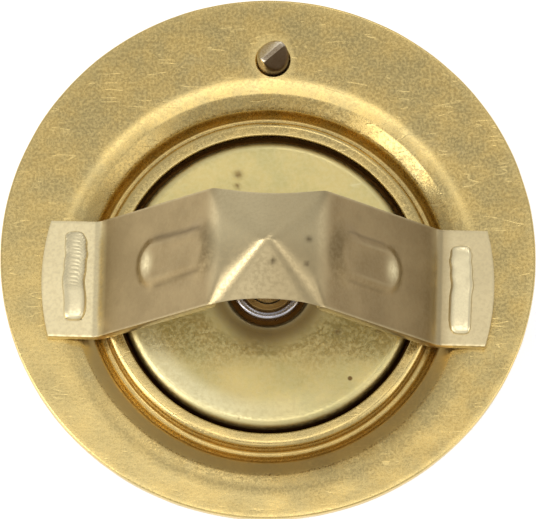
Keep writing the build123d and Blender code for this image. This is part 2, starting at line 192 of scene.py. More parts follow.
def turned(
    corners: Sequence[Corner], closed: bool, steps: int, centre: Vector, **spacing: float
) -> bmesh.types.BMesh:
    """Spins a profile about an upright axis.

    Args:
        corners: The profile, in millimetres from the axis.
        closed: Whether the profile is a closed ring of points.
        steps: How many steps the full turn takes.
        centre: A point of the axis, in metres.
        **spacing: Passed on to rounded().

    Returns:
        The closed shape with its faces outward.
    """
    shape = bmesh.new()
    places = [centre + Vector((p.x * MM, 0.0, p.y * MM)) for p in rounded(corners, closed, **spacing)]
    verts = [shape.verts.new(place) for place in places]
    edges = [shape.edges.new(pair) for pair in zip(verts, verts[1:])]
    if closed:
        edges.append(shape.edges.new((verts[-1], verts[0])))
    bmesh.ops.spin(
        shape,
        geom=verts + edges,
        cent=centre,
        axis=UP,
        angle=math.tau,
        steps=steps,
        use_merge=True,
        use_duplicate=False,
    )
    bmesh.ops.remove_doubles(shape, verts=shape.verts[:], dist=1e-4 * MM)
    bmesh.ops.recalc_face_normals(shape, faces=shape.faces[:])
    return shape


def copy_of(node: str) -> bmesh.types.BMesh:
    """Copies a CAD node's mesh with its loose triangles joined.

    Args:
        node: The node's name.

    Returns:
        The joined copy.
    """
    shape = bmesh.new()
    shape.from_mesh(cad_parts[node].data)
    bmesh.ops.remove_doubles(shape, verts=shape.verts[:], dist=1e-3 * MM)
    bmesh.ops.dissolve_degenerate(shape, dist=1e-4 * MM, edges=shape.edges[:])
    return shape


def mark_sharp(shape: bmesh.types.BMesh, limit_deg: float) -> None:
    """Shades a shape smooth, apart from edges that turn by more than a limit.

    Args:
        shape: The shape to shade.
        limit_deg: The turn between two faces from which their edge stays sharp.
    """
    limit = math.radians(limit_deg)
    for face in shape.faces:
        face.smooth = True
    for edge in shape.edges:
        edge.smooth = len(edge.link_faces) == 2 and edge.calc_face_angle(0.0) < limit


def roughen(shape: bmesh.types.BMesh, amount: float, wave: float, seed: float) -> None:
    """Moves every vertex a little along its normal, as pressed and handled metal is uneven.

    Args:
        shape: The shape to change.
        amount: The most that a vertex moves, in millimetres.
        wave: The size of one swell, in millimetres.
        seed: Where in the noise this piece starts.
    """
    shape.normal_update()
    start = Vector((seed, -seed, seed))
    moves = [v.normal * (noise.noise(v.co / (wave * MM) + start) * amount * MM) for v in shape.verts]
    for vert, move in zip(shape.verts, moves):
        vert.co += move


def as_object(name: str, shape: bmesh.types.BMesh) -> bpy.types.Object:
    """Turns a shape into an object at the origin.

    Args:
        name: The piece's name.
        shape: The shape, which is freed.

    Returns:
        The new object.
    """
    mesh = bpy.data.meshes.new(name)
    shape.to_mesh(mesh)
    shape.free()
    piece = bpy.data.objects.new(name, mesh)
    bpy.context.scene.collection.objects.link(piece)
    return piece


def with_modifiers(piece: bpy.types.Object) -> bmesh.types.BMesh:
    """Takes a piece's mesh with its modifiers worked in, and removes the piece.

    Args:
        piece: The object to take the mesh from.

    Returns:
        The finished mesh as a shape.
    """
    graph = bpy.context.evaluated_depsgraph_get()
    graph.update()
    mesh = bpy.data.meshes.new_from_object(piece.evaluated_get(graph))
    shape = bmesh.new()
    shape.from_mesh(mesh)
    bpy.data.objects.remove(piece)
    bpy.data.meshes.remove(mesh)
    return shape


def cut(shape: bmesh.types.BMesh, cutters: Sequence[bmesh.types.BMesh]) -> bmesh.types.BMesh:
    """Cuts closed shapes out of another.

    Args:
        shape: The shape to cut, which is freed.
        cutters: The shapes to take away, which are freed.

    Returns:
        What is left.
    """
    piece = as_object("uncut", shape)
    tools = [as_object("cutter", cutter) for cutter in cutters]
    for tool in tools:
        modifier = piece.modifiers.new("cut", "BOOLEAN")
        modifier.operation = "DIFFERENCE"
        modifier.solver = "EXACT"
        modifier.object = tool
    left = with_modifiers(piece)
    for tool in tools:
        bpy.data.objects.remove(tool)
    return left


def smooth_step(low: float, high: float, value: float) -> float:
    """A soft step from 0 at low to 1 at high."""
    share = min(max((value - low) / (high - low), 0.0), 1.0)
    return share * share * (3 - 2 * share)


def smooth_min(first: float, second: float, blend: float) -> float:
    """The lesser of two heights, rounded where they are within blend of each other."""
    share = max(blend - abs(first - second), 0.0) / blend
    return min(first, second) - share * share * blend / 4


def smooth_max(first: float, second: float, blend: float) -> float:
    """The greater of two heights, rounded where they are within blend of each other."""
    return -smooth_min(-first, -second, blend)


@dataclass(frozen=True)
class Ruler:
    """Stops along a line, with a number of cells between each stop and the next."""

    stops: tuple[float, ...]
    cells: tuple[int, ...]

    @property
    def count(self) -> int:
        """How many cells there are in all."""
        return sum(self.cells)

    def at(self, index: int) -> float:
        """The place of a grid line.

        Args:
            index: The line's number, from 0.

        Returns:
            Its place, in the units of the stops.
        """
        for start, end, cells in zip(self.stops, self.stops[1:], self.cells):
            if index <= cells:
                return start + (end - start) * index / cells
            index -= cells
        return self.stops[-1]


def mirrored(stops: Sequence[float], cells: Sequence[int]) -> Ruler:
    """A ruler that runs the same both ways from 0.

    Args:
        stops: The stops above 0, in order.
        cells: The cells before each of those stops.

    Returns:
        The ruler from the last stop's negative to the last stop.
    """
    below = tuple(-stop for stop in reversed(stops))
    return Ruler(below + (0.0,) + tuple(stops), tuple(reversed(cells)) + tuple(cells))


def ruled_grid(along: Ruler, across: Ruler, place: Callable[[float, float], Vector]) -> bmesh.types.BMesh:
    """Makes a grid whose lines follow two rulers and puts each of its points in place.

    Args:
        along: The ruler of the grid's first direction.
        across: The ruler of its second direction.
        place: Gives a point's place from its two readings.

    Returns:
        The grid as an open sheet.
    """
    shape = bmesh.new()
    bmesh.ops.create_grid(shape, x_segments=along.count, y_segments=across.count, size=1.0)
    for vert in shape.verts:
        column = round((vert.co.x + 1) / 2 * along.count)
        row = round((vert.co.y + 1) / 2 * across.count)
        vert.co = place(along.at(column), across.at(row))
    return shape


# ---------------------------------------------------------------- node tools

Colour = tuple[float, float, float]

# How strongly the shared effects show on every metal.
BLOOM_STRENGTH = 0.7
BLOOM_SCALE = 2.2
SCRATCH_SPACING = 1.1
SCRATCH_SHINE = 0.4
FLECK_DULLING = 0.26
SPECK_DARKNESS = 0.85
SOIL_ROUGHNESS = 0.2


def rgba(colour: Colour) -> tuple[float, float, float, float]:
    """A colour with full alpha, as sockets want it."""
    return (*colour, 1.0)


@dataclass
class Nodes:
    """Adds nodes to a tree and joins them up."""

    tree: bpy.types.NodeTree

    def put(self, target: bpy.types.NodeSocket, value: object) -> None:
        """Joins a socket to another socket's output, or sets its plain value.

        Args:
            target: The input socket.
            value: An output socket, a number, a vector or a colour.
        """
        if isinstance(value, bpy.types.NodeSocket):
            self.tree.links.new(value, target)
        elif isinstance(value, tuple) and len(value) == 3 and len(target.default_value) == 4:
            target.default_value = rgba(value)
        else:
            target.default_value = value

    def add(self, kind: str, settings: dict[str, object] | None = None, **inputs: object) -> bpy.types.Node:
        """Adds a node.

        Args:
            kind: The node's type, without its leading "ShaderNode".
            settings: Properties to set on the node.
            **inputs: Values for its input sockets, with _ for each space in a name.

        Returns:
            The node.
        """
        node = self.tree.nodes.new("ShaderNode" + kind)
        for key, value in (settings or {}).items():
            setattr(node, key, value)
        for key, value in inputs.items():
            self.put(node.inputs[key.replace("_", " ")], value)
        return node

    def maths(self, operation: str, first: object, second: object = 0.0) -> bpy.types.NodeSocket:
        """A sum of one or two numbers.

        Args:
            operation: What to do, as the Math node names it.
            first: The first number or socket.
            second: The second number or socket.

        Returns:
            The result's socket.
        """
        node = self.add("Math", {"operation": operation})
        self.put(node.inputs[0], first)
        self.put(node.inputs[1], second)
        return node.outputs[0]

    def noise(
        self, vector: object, scale: object, detail: float = 2.0, roughness: float = 0.5
    ) -> bpy.types.NodeSocket:
        """Soft noise between 0 and 1.

        Args:
            vector: Where to read it.
            scale: How many swells there are to a metre.
            detail: How many finer layers it has.
            roughness: How strong the finer layers are.

        Returns:
            The noise's socket.
        """
        node = self.add("TexNoise", Vector=vector, Scale=scale, Detail=detail, Roughness=roughness)
        return node.outputs["Fac"]

    def spread(
        self, value: object, low: object, high: object, to_low: object = 0.0, to_high: object = 1.0
    ) -> bpy.types.NodeSocket:
        """Spreads a value from one range onto another, softly.

        Args:
            value: The value.
            low: What becomes to_low.
            high: What becomes to_high.
            to_low: The new range's low end.
            to_high: The new range's high end.

        Returns:
            The new value's socket.
        """
        node = self.add("MapRange", {"interpolation_type": "SMOOTHSTEP"})
        for socket, number in zip(node.inputs, (value, low, high, to_low, to_high)):
            self.put(socket, number)
        return node.outputs[0]

    def mix(self, share: object, first: object, second: object) -> bpy.types.NodeSocket:
        """Mixes two colours.

        Args:
            share: How much of the second there is.
            first: The first colour or socket.
            second: The second colour or socket.

        Returns:
            The mixed colour's socket.
        """
        node = self.add("Mix", {"data_type": "RGBA"})
        self.put(node.inputs[0], share)
        self.put(node.inputs[6], first)
        self.put(node.inputs[7], second)
        return node.outputs[2]


@dataclass(frozen=True)
class GroupSocket:
    """A socket of a node group."""

    name: str
    kind: str
    value: float | None = None


def new_group(name: str, inputs: Sequence[GroupSocket], outputs: Sequence[GroupSocket]) -> Nodes:
    """Starts a shader node group with its sockets.

    Args:
        name: The group's name.
        inputs: Its inputs.
        outputs: Its outputs.

    Returns:
        The tools for its tree, which has one input node and one output node.
    """
    tree = bpy.data.node_groups.new(name, "ShaderNodeTree")
    for side, sockets in (("INPUT", inputs), ("OUTPUT", outputs)):
        for socket in sockets:
            made = tree.interface.new_socket(name=socket.name, in_out=side, socket_type=socket.kind)
            if socket.value is not None:
                made.default_value = socket.value
    tree.nodes.new("NodeGroupInput")
    tree.nodes.new("NodeGroupOutput")
    return Nodes(tree)


NUMBER = "NodeSocketFloat"
PLACE = "NodeSocketVector"


class Effects:
    """The surface effects that the finishes share, each a node group that is built once."""

    def __init__(self) -> None:
        """Builds every group."""
        self.mottle = self._mottle()
        self.grain = self._grain()
        self.scratches = self._scratches()
        self.specks = self._specks()

    @staticmethod
    def _ends(tools: Nodes) -> tuple[bpy.types.NodeOutputs, bpy.types.NodeInputs]:
        """The sockets that a group's nodes read from and write to."""
        return tools.tree.nodes["Group Input"].outputs, tools.tree.nodes["Group Output"].inputs

    def _mottle(self) -> bpy.types.NodeTree:
        """Cloudy patches of tarnish, each with a finer broken edge.

        Returns:
            The group, which puts out a Patch mask and a Fleck mask.
        """
        tools = new_group(
            "mottle",
            [
                GroupSocket("Place", PLACE),
                GroupSocket("Patches", NUMBER, 200.0),
                GroupSocket("Share", NUMBER, 0.5),
            ],
            [GroupSocket("Patch", NUMBER), GroupSocket("Fleck", NUMBER)],
        )
        taken, given = self._ends(tools)
        cloud = tools.noise(taken["Place"], taken["Patches"], 7.0, 0.68)
        middle = tools.maths("SUBTRACT", 0.75, tools.maths("MULTIPLY", taken["Share"], 0.5))
        low = tools.maths("SUBTRACT", middle, 0.13)
        high = tools.maths("ADD", middle, 0.13)
        tools.put(given["Patch"], tools.spread(cloud, low, high))
        fine = tools.noise(taken["Place"], tools.maths("MULTIPLY", taken["Patches"], 15.0), 5.0, 0.68)
        tools.put(given["Fleck"], tools.spread(fine, 0.4, 0.64))
        return tools.tree

    def _grain(self) -> bpy.types.NodeTree:
        """The fine uneven grain of rolled and pressed sheet.

        Returns:
            The group, which puts out a Height.
        """
        tools = new_group(
            "grain",
            [GroupSocket("Place", PLACE), GroupSocket("Grains", NUMBER, 3000.0)],
            [GroupSocket("Height", NUMBER)],
        )
        taken, given = self._ends(tools)
        fine = tools.noise(taken["Place"], taken["Grains"], 3.0, 0.6)
        coarse = tools.noise(taken["Place"], tools.maths("MULTIPLY", taken["Grains"], 0.27), 2.0, 0.5)
        tools.put(given["Height"], tools.maths("ADD", fine, coarse))
        return tools.tree

    def _scratches(self) -> bpy.types.NodeTree:
        """Short thin scratches, each where a stretched noise crosses a narrow band.

        Returns:
            The group, which puts out a Mask.
        """
        tools = new_group(
            "scratches",
            [
                GroupSocket("Place", PLACE),
                GroupSocket("Lines", NUMBER, 900.0),
                GroupSocket("Cover", NUMBER, 0.4),
            ],
            [GroupSocket("Mask", NUMBER)],
        )
        taken, given = self._ends(tools)
        long_way = tools.add(
            "Mapping", Vector=taken["Place"], Scale=(0.16, 1.0, 0.16), Rotation=(0.0, 0.0, 0.12)
        )
        lines = tools.noise(long_way.outputs[0], taken["Lines"], 1.0, 0.5)
        off_line = tools.maths("ABSOLUTE", tools.maths("SUBTRACT", lines, 0.5))
        thin = tools.spread(off_line, 0.0, 0.02, 1.0, 0.0)
        field_noise = tools.noise(taken["Place"], tools.maths("MULTIPLY", taken["Lines"], 0.45), 2.0, 0.7)
        bound = tools.maths("SUBTRACT", 0.78, tools.maths("MULTIPLY", taken["Cover"], 0.4))
        shown = tools.spread(field_noise, bound, tools.maths("ADD", bound, 0.06))
        tools.put(given["Mask"], tools.maths("MULTIPLY", thin, shown))
        return tools.tree

    def _specks(self) -> bpy.types.NodeTree:
        """Small round specks of dirt, in a few of the cells that divide the surface.

        Returns:
            The group, which puts out a Mask.
        """
        tools = new_group(
            "specks",
            [
                GroupSocket("Place", PLACE),
                GroupSocket("Cells", NUMBER, 300.0),
                GroupSocket("Cover", NUMBER, 0.2),
            ],
            [GroupSocket("Mask", NUMBER)],
        )
        taken, given = self._ends(tools)
        cell = tools.add("TexVoronoi", Vector=taken["Place"], Scale=taken["Cells"])
        luck = tools.add("SeparateColor", Color=cell.outputs["Color"])
        size = tools.spread(luck.outputs[0], tools.maths("SUBTRACT", 1.0, taken["Cover"]), 1.0, 0.0, 0.3)
        near = tools.spread(cell.outputs["Distance"], tools.maths("MULTIPLY", size, 0.5), size, 1.0, 0.0)
        shown = tools.maths("GREATER_THAN", size, 0.02)
        tools.put(given["Mask"], tools.maths("MULTIPLY", near, shown))
        return tools.tree


# ---------------------------------------------------------------- finishes


class Lay(Enum):
    """The way that a metal's grain runs: the scale of its pattern along X, Y and Z."""

    ROLLED = (0.55, 1.0, 1.0)
    ACROSS = (1.0, 0.12, 0.3)
    DRAWN = (1.0, 1.0, 0.08)
    EVEN = (1.0, 1.0, 1.0)


@dataclass(frozen=True)
class Metal:
    """A worn metal finish. Sizes are in millimetres."""

    name: str
    bare: Colour
    tarnish: Colour
    bright: Colour
    # Colour of real specks and of painted shade and painted reflection.
    dirt_and_shade: Colour = (0.045, 0.028, 0.012)
    bloom: Colour = (0.46, 0.46, 0.32)
    bloom_share: float = 0.0
    patch_size: float = 4.0
    patch_share: float = 0.5
    fleck: float = 0.35
    rough_low: float = 0.3
    rough_high: float = 0.5
    grain_size: float = 0.3
    grain_depth: float = 0.006
    lay: Lay = Lay.EVEN
    scratches: float = 0.3
    specks: float = 0.0
    speck_cell: float = 3.0

    def build(self, effects: Effects) -> bpy.types.Material:
        """Makes the material.

        Args:
            effects: The shared node groups.

        Returns:
            The material.
        """
        material = bpy.data.materials.new(self.name)
        material.use_nodes = True
        tools = Nodes(material.node_tree)
        shader = tools.tree.nodes["Principled BSDF"]
        shader.inputs["Metallic"].default_value = 1.0
        place = tools.add("TexCoord").outputs["Object"]
        laid = tools.add("Mapping", Vector=place, Scale=self.lay.value).outputs[0]
        patches = 1 / (self.patch_size * MM)
        mottle = self._effect(
            tools, effects.mottle, place, Patches=patches, Share=self.patch_share
        )
        colour = tools.mix(mottle.outputs["Patch"], self.bare, self.tarnish)
        flecked = tools.maths("MULTIPLY", mottle.outputs["Fleck"], self.fleck)
        colour = tools.mix(flecked, colour, self.bright)
        if self.bloom_share:
            moved = tools.add("Mapping", Vector=place, Location=(0.31, 0.17, 0.0)).outputs[0]
            bloom = self._effect(
                tools,
                effects.mottle,
                moved,
                Patches=1 / (BLOOM_SCALE * self.patch_size * MM),
                Share=self.bloom_share,
            )
            bloomed = tools.maths("MULTIPLY", bloom.outputs["Patch"], BLOOM_STRENGTH)
            colour = tools.mix(bloomed, colour, self.bloom)
        lines = self._effect(
            tools, effects.scratches, place, Lines=1 / (SCRATCH_SPACING * MM), Cover=self.scratches
        )
        # Layer of real edge marks and of painted highlights, mixed in the bright colour.
        brightening = tools.add("Attribute", {"attribute_name": "wear"}).outputs["Fac"]
        dulled = tools.maths("SUBTRACT", 1.0, tools.maths("MULTIPLY", mottle.outputs["Fleck"], FLECK_DULLING))
        brightening = tools.maths("MULTIPLY", brightening, dulled)
        bright = tools.maths("MAXIMUM", brightening, tools.maths("MULTIPLY", lines.outputs["Mask"], SCRATCH_SHINE))
        colour = tools.mix(bright, colour, self.bright)
        if self.specks:
            cells = 1 / (self.speck_cell * MM)
            dots = self._effect(tools, effects.specks, place, Cells=cells, Cover=self.specks)
            dotted = tools.maths("MULTIPLY", dots.outputs["Mask"], SPECK_DARKNESS)
            colour = tools.mix(dotted, colour, self.dirt_and_shade)
        # Layer of real specks and of painted shade and painted reflection, mixed in the dark colour.
        darkening = tools.add("Attribute", {"attribute_name": "soil"}).outputs["Fac"]
        colour = tools.mix(darkening, colour, self.dirt_and_shade)
        tools.put(shader.inputs["Base Color"], colour)
        rough = tools.spread(mottle.outputs["Fleck"], 0.0, 1.0, self.rough_low, self.rough_high)
        rougher = tools.maths("MULTIPLY", darkening, SOIL_ROUGHNESS)
        tools.put(shader.inputs["Roughness"], tools.maths("ADD", rough, rougher))
        grain = self._effect(tools, effects.grain, laid, Grains=1 / (self.grain_size * MM))
        height = tools.maths("SUBTRACT", grain.outputs["Height"], lines.outputs["Mask"])
        bump = tools.add("Bump", Height=height, Distance=self.grain_depth * MM, Strength=1.0)
        tools.put(shader.inputs["Normal"], bump.outputs[0])
        return material

    @staticmethod
    def _effect(tools: Nodes, group: bpy.types.NodeTree, place: object, **inputs: object) -> bpy.types.Node:
        """Places one of the shared groups.

        Args:
            tools: The material's node tools.
            group: The group.
            place: Where the group reads its pattern.
            **inputs: The group's other inputs.

        Returns:
            The group's node.
        """
        node = tools.tree.nodes.new("ShaderNodeGroup")
        node.node_tree = group
        tools.put(node.inputs["Place"], place)
        for key, value in inputs.items():
            tools.put(node.inputs[key], value)
        return node


@dataclass(frozen=True)
class Plain:
    """A soft or moulded finish that isn't metal. Sizes are in millimetres."""

    name: str
    colour: Colour
    shade: Colour
    roughness: float = 0.6
    patch_size: float = 2.0
    grain_size: float = 0.3
    grain_depth: float = 0.01

    def build(self, effects: Effects) -> bpy.types.Material:
        """Makes the material.

        Args:
            effects: The shared node groups.

        Returns:
            The material.
        """
        material = bpy.data.materials.new(self.name)
        material.use_nodes = True
        tools = Nodes(material.node_tree)
        shader = tools.tree.nodes["Principled BSDF"]
        place = tools.add("TexCoord").outputs["Object"]
        mottle = Metal._effect(tools, effects.mottle, place, Patches=1 / (self.patch_size * MM), Share=0.5)
        tools.put(shader.inputs["Base Color"], tools.mix(mottle.outputs["Fleck"], self.colour, self.shade))
        spread = tools.spread(mottle.outputs["Patch"], 0.0, 1.0, self.roughness - 0.1, self.roughness + 0.1)
        tools.put(shader.inputs["Roughness"], spread)
        grain = Metal._effect(tools, effects.grain, place, Grains=1 / (self.grain_size * MM))
        bump = tools.add("Bump", Height=grain.outputs["Height"], Distance=self.grain_depth * MM, Strength=1.0)
        tools.put(shader.inputs["Normal"], bump.outputs[0])
        return material


# Its orange-brown dark colour paints the orange reflection and shade on the groove's front slope and the
# shade in the groove, the seat's gap and inward corners; its bright colour is real edge wear and the flange's
# painted highlights.
PRESSED_BRASS = Metal(
    name="pressed_brass",
    bare=(0.59, 0.42, 0.15),
    tarnish=(0.45, 0.345, 0.145),
    bright=(0.90, 0.69, 0.29),
    dirt_and_shade=(0.36, 0.20, 0.04),
    bloom=(0.52, 0.46, 0.27),
    bloom_share=0.12,
    patch_size=4.2,
    fleck=0.26,
    rough_low=0.22,
    rough_high=0.36,
    lay=Lay.ROLLED,
    scratches=0.6,
)
# Its bright colour is both real edge wear and the painted highlights on the feet, roof, left leg, rib ends
# and downward faces; its dark colour is both real specks and painted shade.
STRAP_BRASS = Metal(
    name="strap_brass",
    bare=(0.33, 0.235, 0.11),
    tarnish=(0.26, 0.18, 0.08),
    bright=(0.86, 0.73, 0.43),
    patch_size=6.0,
    fleck=0.08,
    rough_low=0.28,
    rough_high=0.40,
    grain_size=0.25,
    grain_depth=0.005,
    lay=Lay.ACROSS,
    scratches=0.12,
    specks=0.07,
    speck_cell=2.2,
)
# Its dark orange-brown colour is both real specks and the painted shade and orange reflection round the neck
# ring and at the rim; its bright colour paints the highlight near the rim.
PLATE_BRASS = Metal(
    name="plate_brass",
    bare=(0.70, 0.56, 0.23),
    tarnish=(0.59, 0.50, 0.21),
    bright=(0.84, 0.76, 0.46),
    dirt_and_shade=(0.14, 0.062, 0.012),
    patch_size=6.0,
    fleck=0.2,
    rough_low=0.34,
    rough_high=0.48,
    grain_size=0.4,
    grain_depth=0.004,
    lay=Lay.ROLLED,
    scratches=0.35,
    specks=0.09,
    speck_cell=2.8,
)
TAB_BRASS = Metal(
    name="tab_brass",
    bare=(0.52, 0.42, 0.24),
    tarnish=(0.42, 0.33, 0.19),
    bright=(0.86, 0.75, 0.47),
    fleck=0.25,
    rough_low=0.28,
    rough_high=0.42,
    grain_depth=0.008,
    lay=Lay.DRAWN,
    scratches=0.2,
)
# A deep brown: partly the brass's own tone, partly painted shade from the strap above the neck.
TURNED_BRASS_WITH_SHADE = Metal(
    name="turned_brass_with_shade",
    bare=(0.36, 0.21, 0.065),
    tarnish=(0.25, 0.135, 0.04),
    bright=(0.50, 0.33, 0.12),
    patch_size=3.0,
    fleck=0.15,
    rough_low=0.34,
    rough_high=0.46,
    grain_size=0.2,
    grain_depth=0.004,
    scratches=0.1,
)
DRAWN_BRASS = Metal(
    name="drawn_brass",
    bare=(0.58, 0.44, 0.20),
    tarnish=(0.44, 0.32, 0.15),
    bright=(0.74, 0.60, 0.34),
    patch_size=5.0,
    rough_low=0.26,
    rough_high=0.42,
    grain_depth=0.008,
    lay=Lay.DRAWN,
    scratches=0.2,
)
# Its dark tones and dark colour partly paint the shade on the head's front facet, and its bright colour the
# painted highlight on the back facet.
PIN_BRASS = Metal(
    name="pin_brass",
    bare=(0.42, 0.32, 0.20),
    tarnish=(0.27, 0.18, 0.10),
    bright=(0.82, 0.75, 0.60),
    dirt_and_shade=(0.07, 0.04, 0.018),
    patch_size=1.5,
    rough_low=0.14,
    rough_high=0.26,
    grain_size=0.25,
    scratches=0.0,
)
# Its near-black dark colour is painted shade in the ring's inward corners.
RING_STEEL = Metal(
    name="ring_steel",
    bare=(0.52, 0.50, 0.53),
    tarnish=(0.40, 0.37, 0.40),
    bright=(0.66, 0.65, 0.70),
    dirt_and_shade=(0.02, 0.02, 0.02),
    patch_size=1.2,
    fleck=0.15,
    rough_low=0.22,
    rough_high=0.32,
    grain_size=0.12,
    grain_depth=0.004,
    scratches=0.0,
)
GROUND_STEEL = Metal(
    name="ground_steel",
    bare=(0.62, 0.61, 0.60),
    tarnish=(0.46, 0.44, 0.42),
    bright=(0.80, 0.80, 0.80),
    dirt_and_shade=(0.05, 0.04, 0.03),
    patch_size=3.0,
    rough_low=0.16,
    rough_high=0.28,
    grain_size=0.15,
    grain_depth=0.002,
    scratches=0.1,
)
WIRE_STEEL = Metal(
    name="wire_steel",
    bare=(0.45, 0.45, 0.46),
    tarnish=(0.30, 0.29, 0.29),
    bright=(0.62, 0.62, 0.63),
    dirt_and_shade=(0.05, 0.04, 0.03),
    rough_low=0.28,
    rough_high=0.42,
    grain_size=0.2,
    grain_depth=0.004,
    scratches=0.15,
)
BLACK_RUBBER = Plain("black_rubber", (0.035, 0.035, 0.036), (0.02, 0.02, 0.021), roughness=0.62)
COPPERY_WAX = Plain("coppery_wax", (0.36, 0.17, 0.08), (0.24, 0.10, 0.05), roughness=0.45)
HARD_DISC = Plain("hard_disc", (0.84, 0.83, 0.79), (0.74, 0.72, 0.67), roughness=0.35, grain_depth=0.003)


# ---------------------------------------------------------------- handing pieces over


def layers_of(shape: bmesh.types.BMesh) -> tuple[bmesh.types.BMLayerItem, bmesh.types.BMLayerItem]:
    """The layer of bright edges and painted highlights, and the layer of dark specks and painted shade, of a
    marked shape.
    """
    layers = shape.verts.layers.float
    return layers["wear"], layers["soil"]


def turn_at(vert: bmesh.types.BMVert, edge: bmesh.types.BMEdge) -> float:
    """How sharply the surface turns along an edge, in turns per millimetre, outward positive."""
    away = vert.co - edge.other_vert(vert).co
    return 2 * MM * away.dot(vert.normal) / max(away.length_squared, (0.02 * MM) ** 2)


def wear_edges_and_shade_corners(shape: bmesh.types.BMesh, brightening: float, darkening: float, longest: float = 1.6) -> None:
    """Brightens the outward edges of a shape, as handling wears them, and paints shade into its inward
    corners.

    Args:
        shape: The finished shape.
        brightening: How bright a sharp edge is made, from 0 to 1.
        darkening: How strong the painted shade is in a sharp corner, from 0 to 1.
        longest: The longest edge, in millimetres, that a marked point may have.
    """
    wear = shape.verts.layers.float.new("wear")
    soil = shape.verts.layers.float.new("soil")
    shape.normal_update()
    for vert in shape.verts:
        if max(edge.calc_length() for edge in vert.link_edges) > longest * MM:
            continue
        turns = [turn_at(vert, edge) for edge in vert.link_edges]
        vert[wear] = brightening * smooth_step(0.4, 2.4, max(turns))
        vert[soil] = darkening * smooth_step(0.5, 3.0, -min(turns))


@dataclass(frozen=True)
class Mark:
    """A ring-shaped zone about the valve's axis that is painted darker, as shade and reflection, or lighter,
    as a highlight. Sizes are in millimetres.

    With a `towards_deg`, only the part of the ring that lies in that direction is marked.
    """

    inner: float
    outer: float
    low: float
    high: float
    strength: float
    soft: float = 0.3
    layer: str = "soil"
    towards_deg: float | None = None

    def at(self, place: Vector) -> float:
        """How strong the mark is at a point.

        Args:
            place: The point, in the frame's metres.

        Returns:
            Its strength there.
        """
        arm = (place - LAYOUT.valve_centre) / MM
        reach = math.hypot(arm.x, arm.y)
        inside = smooth_step(self.inner - self.soft, self.inner + self.soft, reach)
        inside *= 1 - smooth_step(self.outer - self.soft, self.outer + self.soft, reach)
        inside *= smooth_step(self.low - self.soft, self.low + self.soft, arm.z)
        if self.towards_deg is not None:
            inside *= max(math.cos(math.atan2(arm.y, arm.x) - math.radians(self.towards_deg)), 0.0) ** 2
        return self.strength * inside * (1 - smooth_step(self.high - self.soft, self.high + self.soft, arm.z))


@dataclass(frozen=True)
class Speck:
    """A small dark spot at a place about the valve's axis. Sizes are in millimetres."""

    along: float
    across: float
    radius: float = 0.32
    strength: float = 0.8

    def add_to(self, shape: bmesh.types.BMesh) -> None:
        """Darkens the upward faces round the spot.

        Args:
            shape: The weathered shape.
        """
        soil = shape.verts.layers.float["soil"]
        place = LAYOUT.valve_centre.xy + Vector((self.along, self.across)) * MM
        for vert in shape.verts:
            away = (vert.co.xy - place).length / (self.radius * MM)
            if away < 2.5 and vert.normal.z > 0.2:
                vert[soil] = max(vert[soil], self.strength * math.exp(-away * away))


def add_marks(shape: bmesh.types.BMesh, marks: Sequence[Mark]) -> None:
    """Adds zones of painted shade, reflection and highlight to a marked shape.

    Args:
        shape: The shape, already weathered.
        marks: The zones.
    """
    for mark in marks:
        layer = shape.verts.layers.float[mark.layer]
        for vert in shape.verts:
            vert[layer] = max(vert[layer], mark.at(vert.co))


@dataclass
class Bench:
    """Where the pieces get their finish and are handed over to their body."""

    effects: Effects = field(default_factory=Effects)
    finishes: dict[str, bpy.types.Material] = field(default_factory=dict)

    def dress(self, piece: bpy.types.Object, finish: Metal | Plain) -> None:
        """Gives a piece its finish, which is built once.

        Args:
            piece: The piece.
            finish: Its finish.
        """
        if finish.name not in self.finishes:
            self.finishes[finish.name] = finish.build(self.effects)
        piece.data.materials.clear()
        piece.data.materials.append(self.finishes[finish.name])

    def hand_over(
        self, piece: bpy.types.Object, node: str, finish: Metal | Plain, slot: Slot, body: Body
    ) -> None:
        """Dresses a piece and has it stand for its CAD node.

        Args:
            piece: The piece, in place.
            node: The CAD node it stands for.
            finish: Its finish.
            slot: The record's slot of that finish; not used.
            body: The body it rides on.
        """
        self.dress(piece, finish)
        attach(piece, body.value)
        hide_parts(node)
        LOG.info("%s stands for %s with %d faces", piece.name, node, len(piece.data.polygons))


# ---------------------------------------------------------------- flange


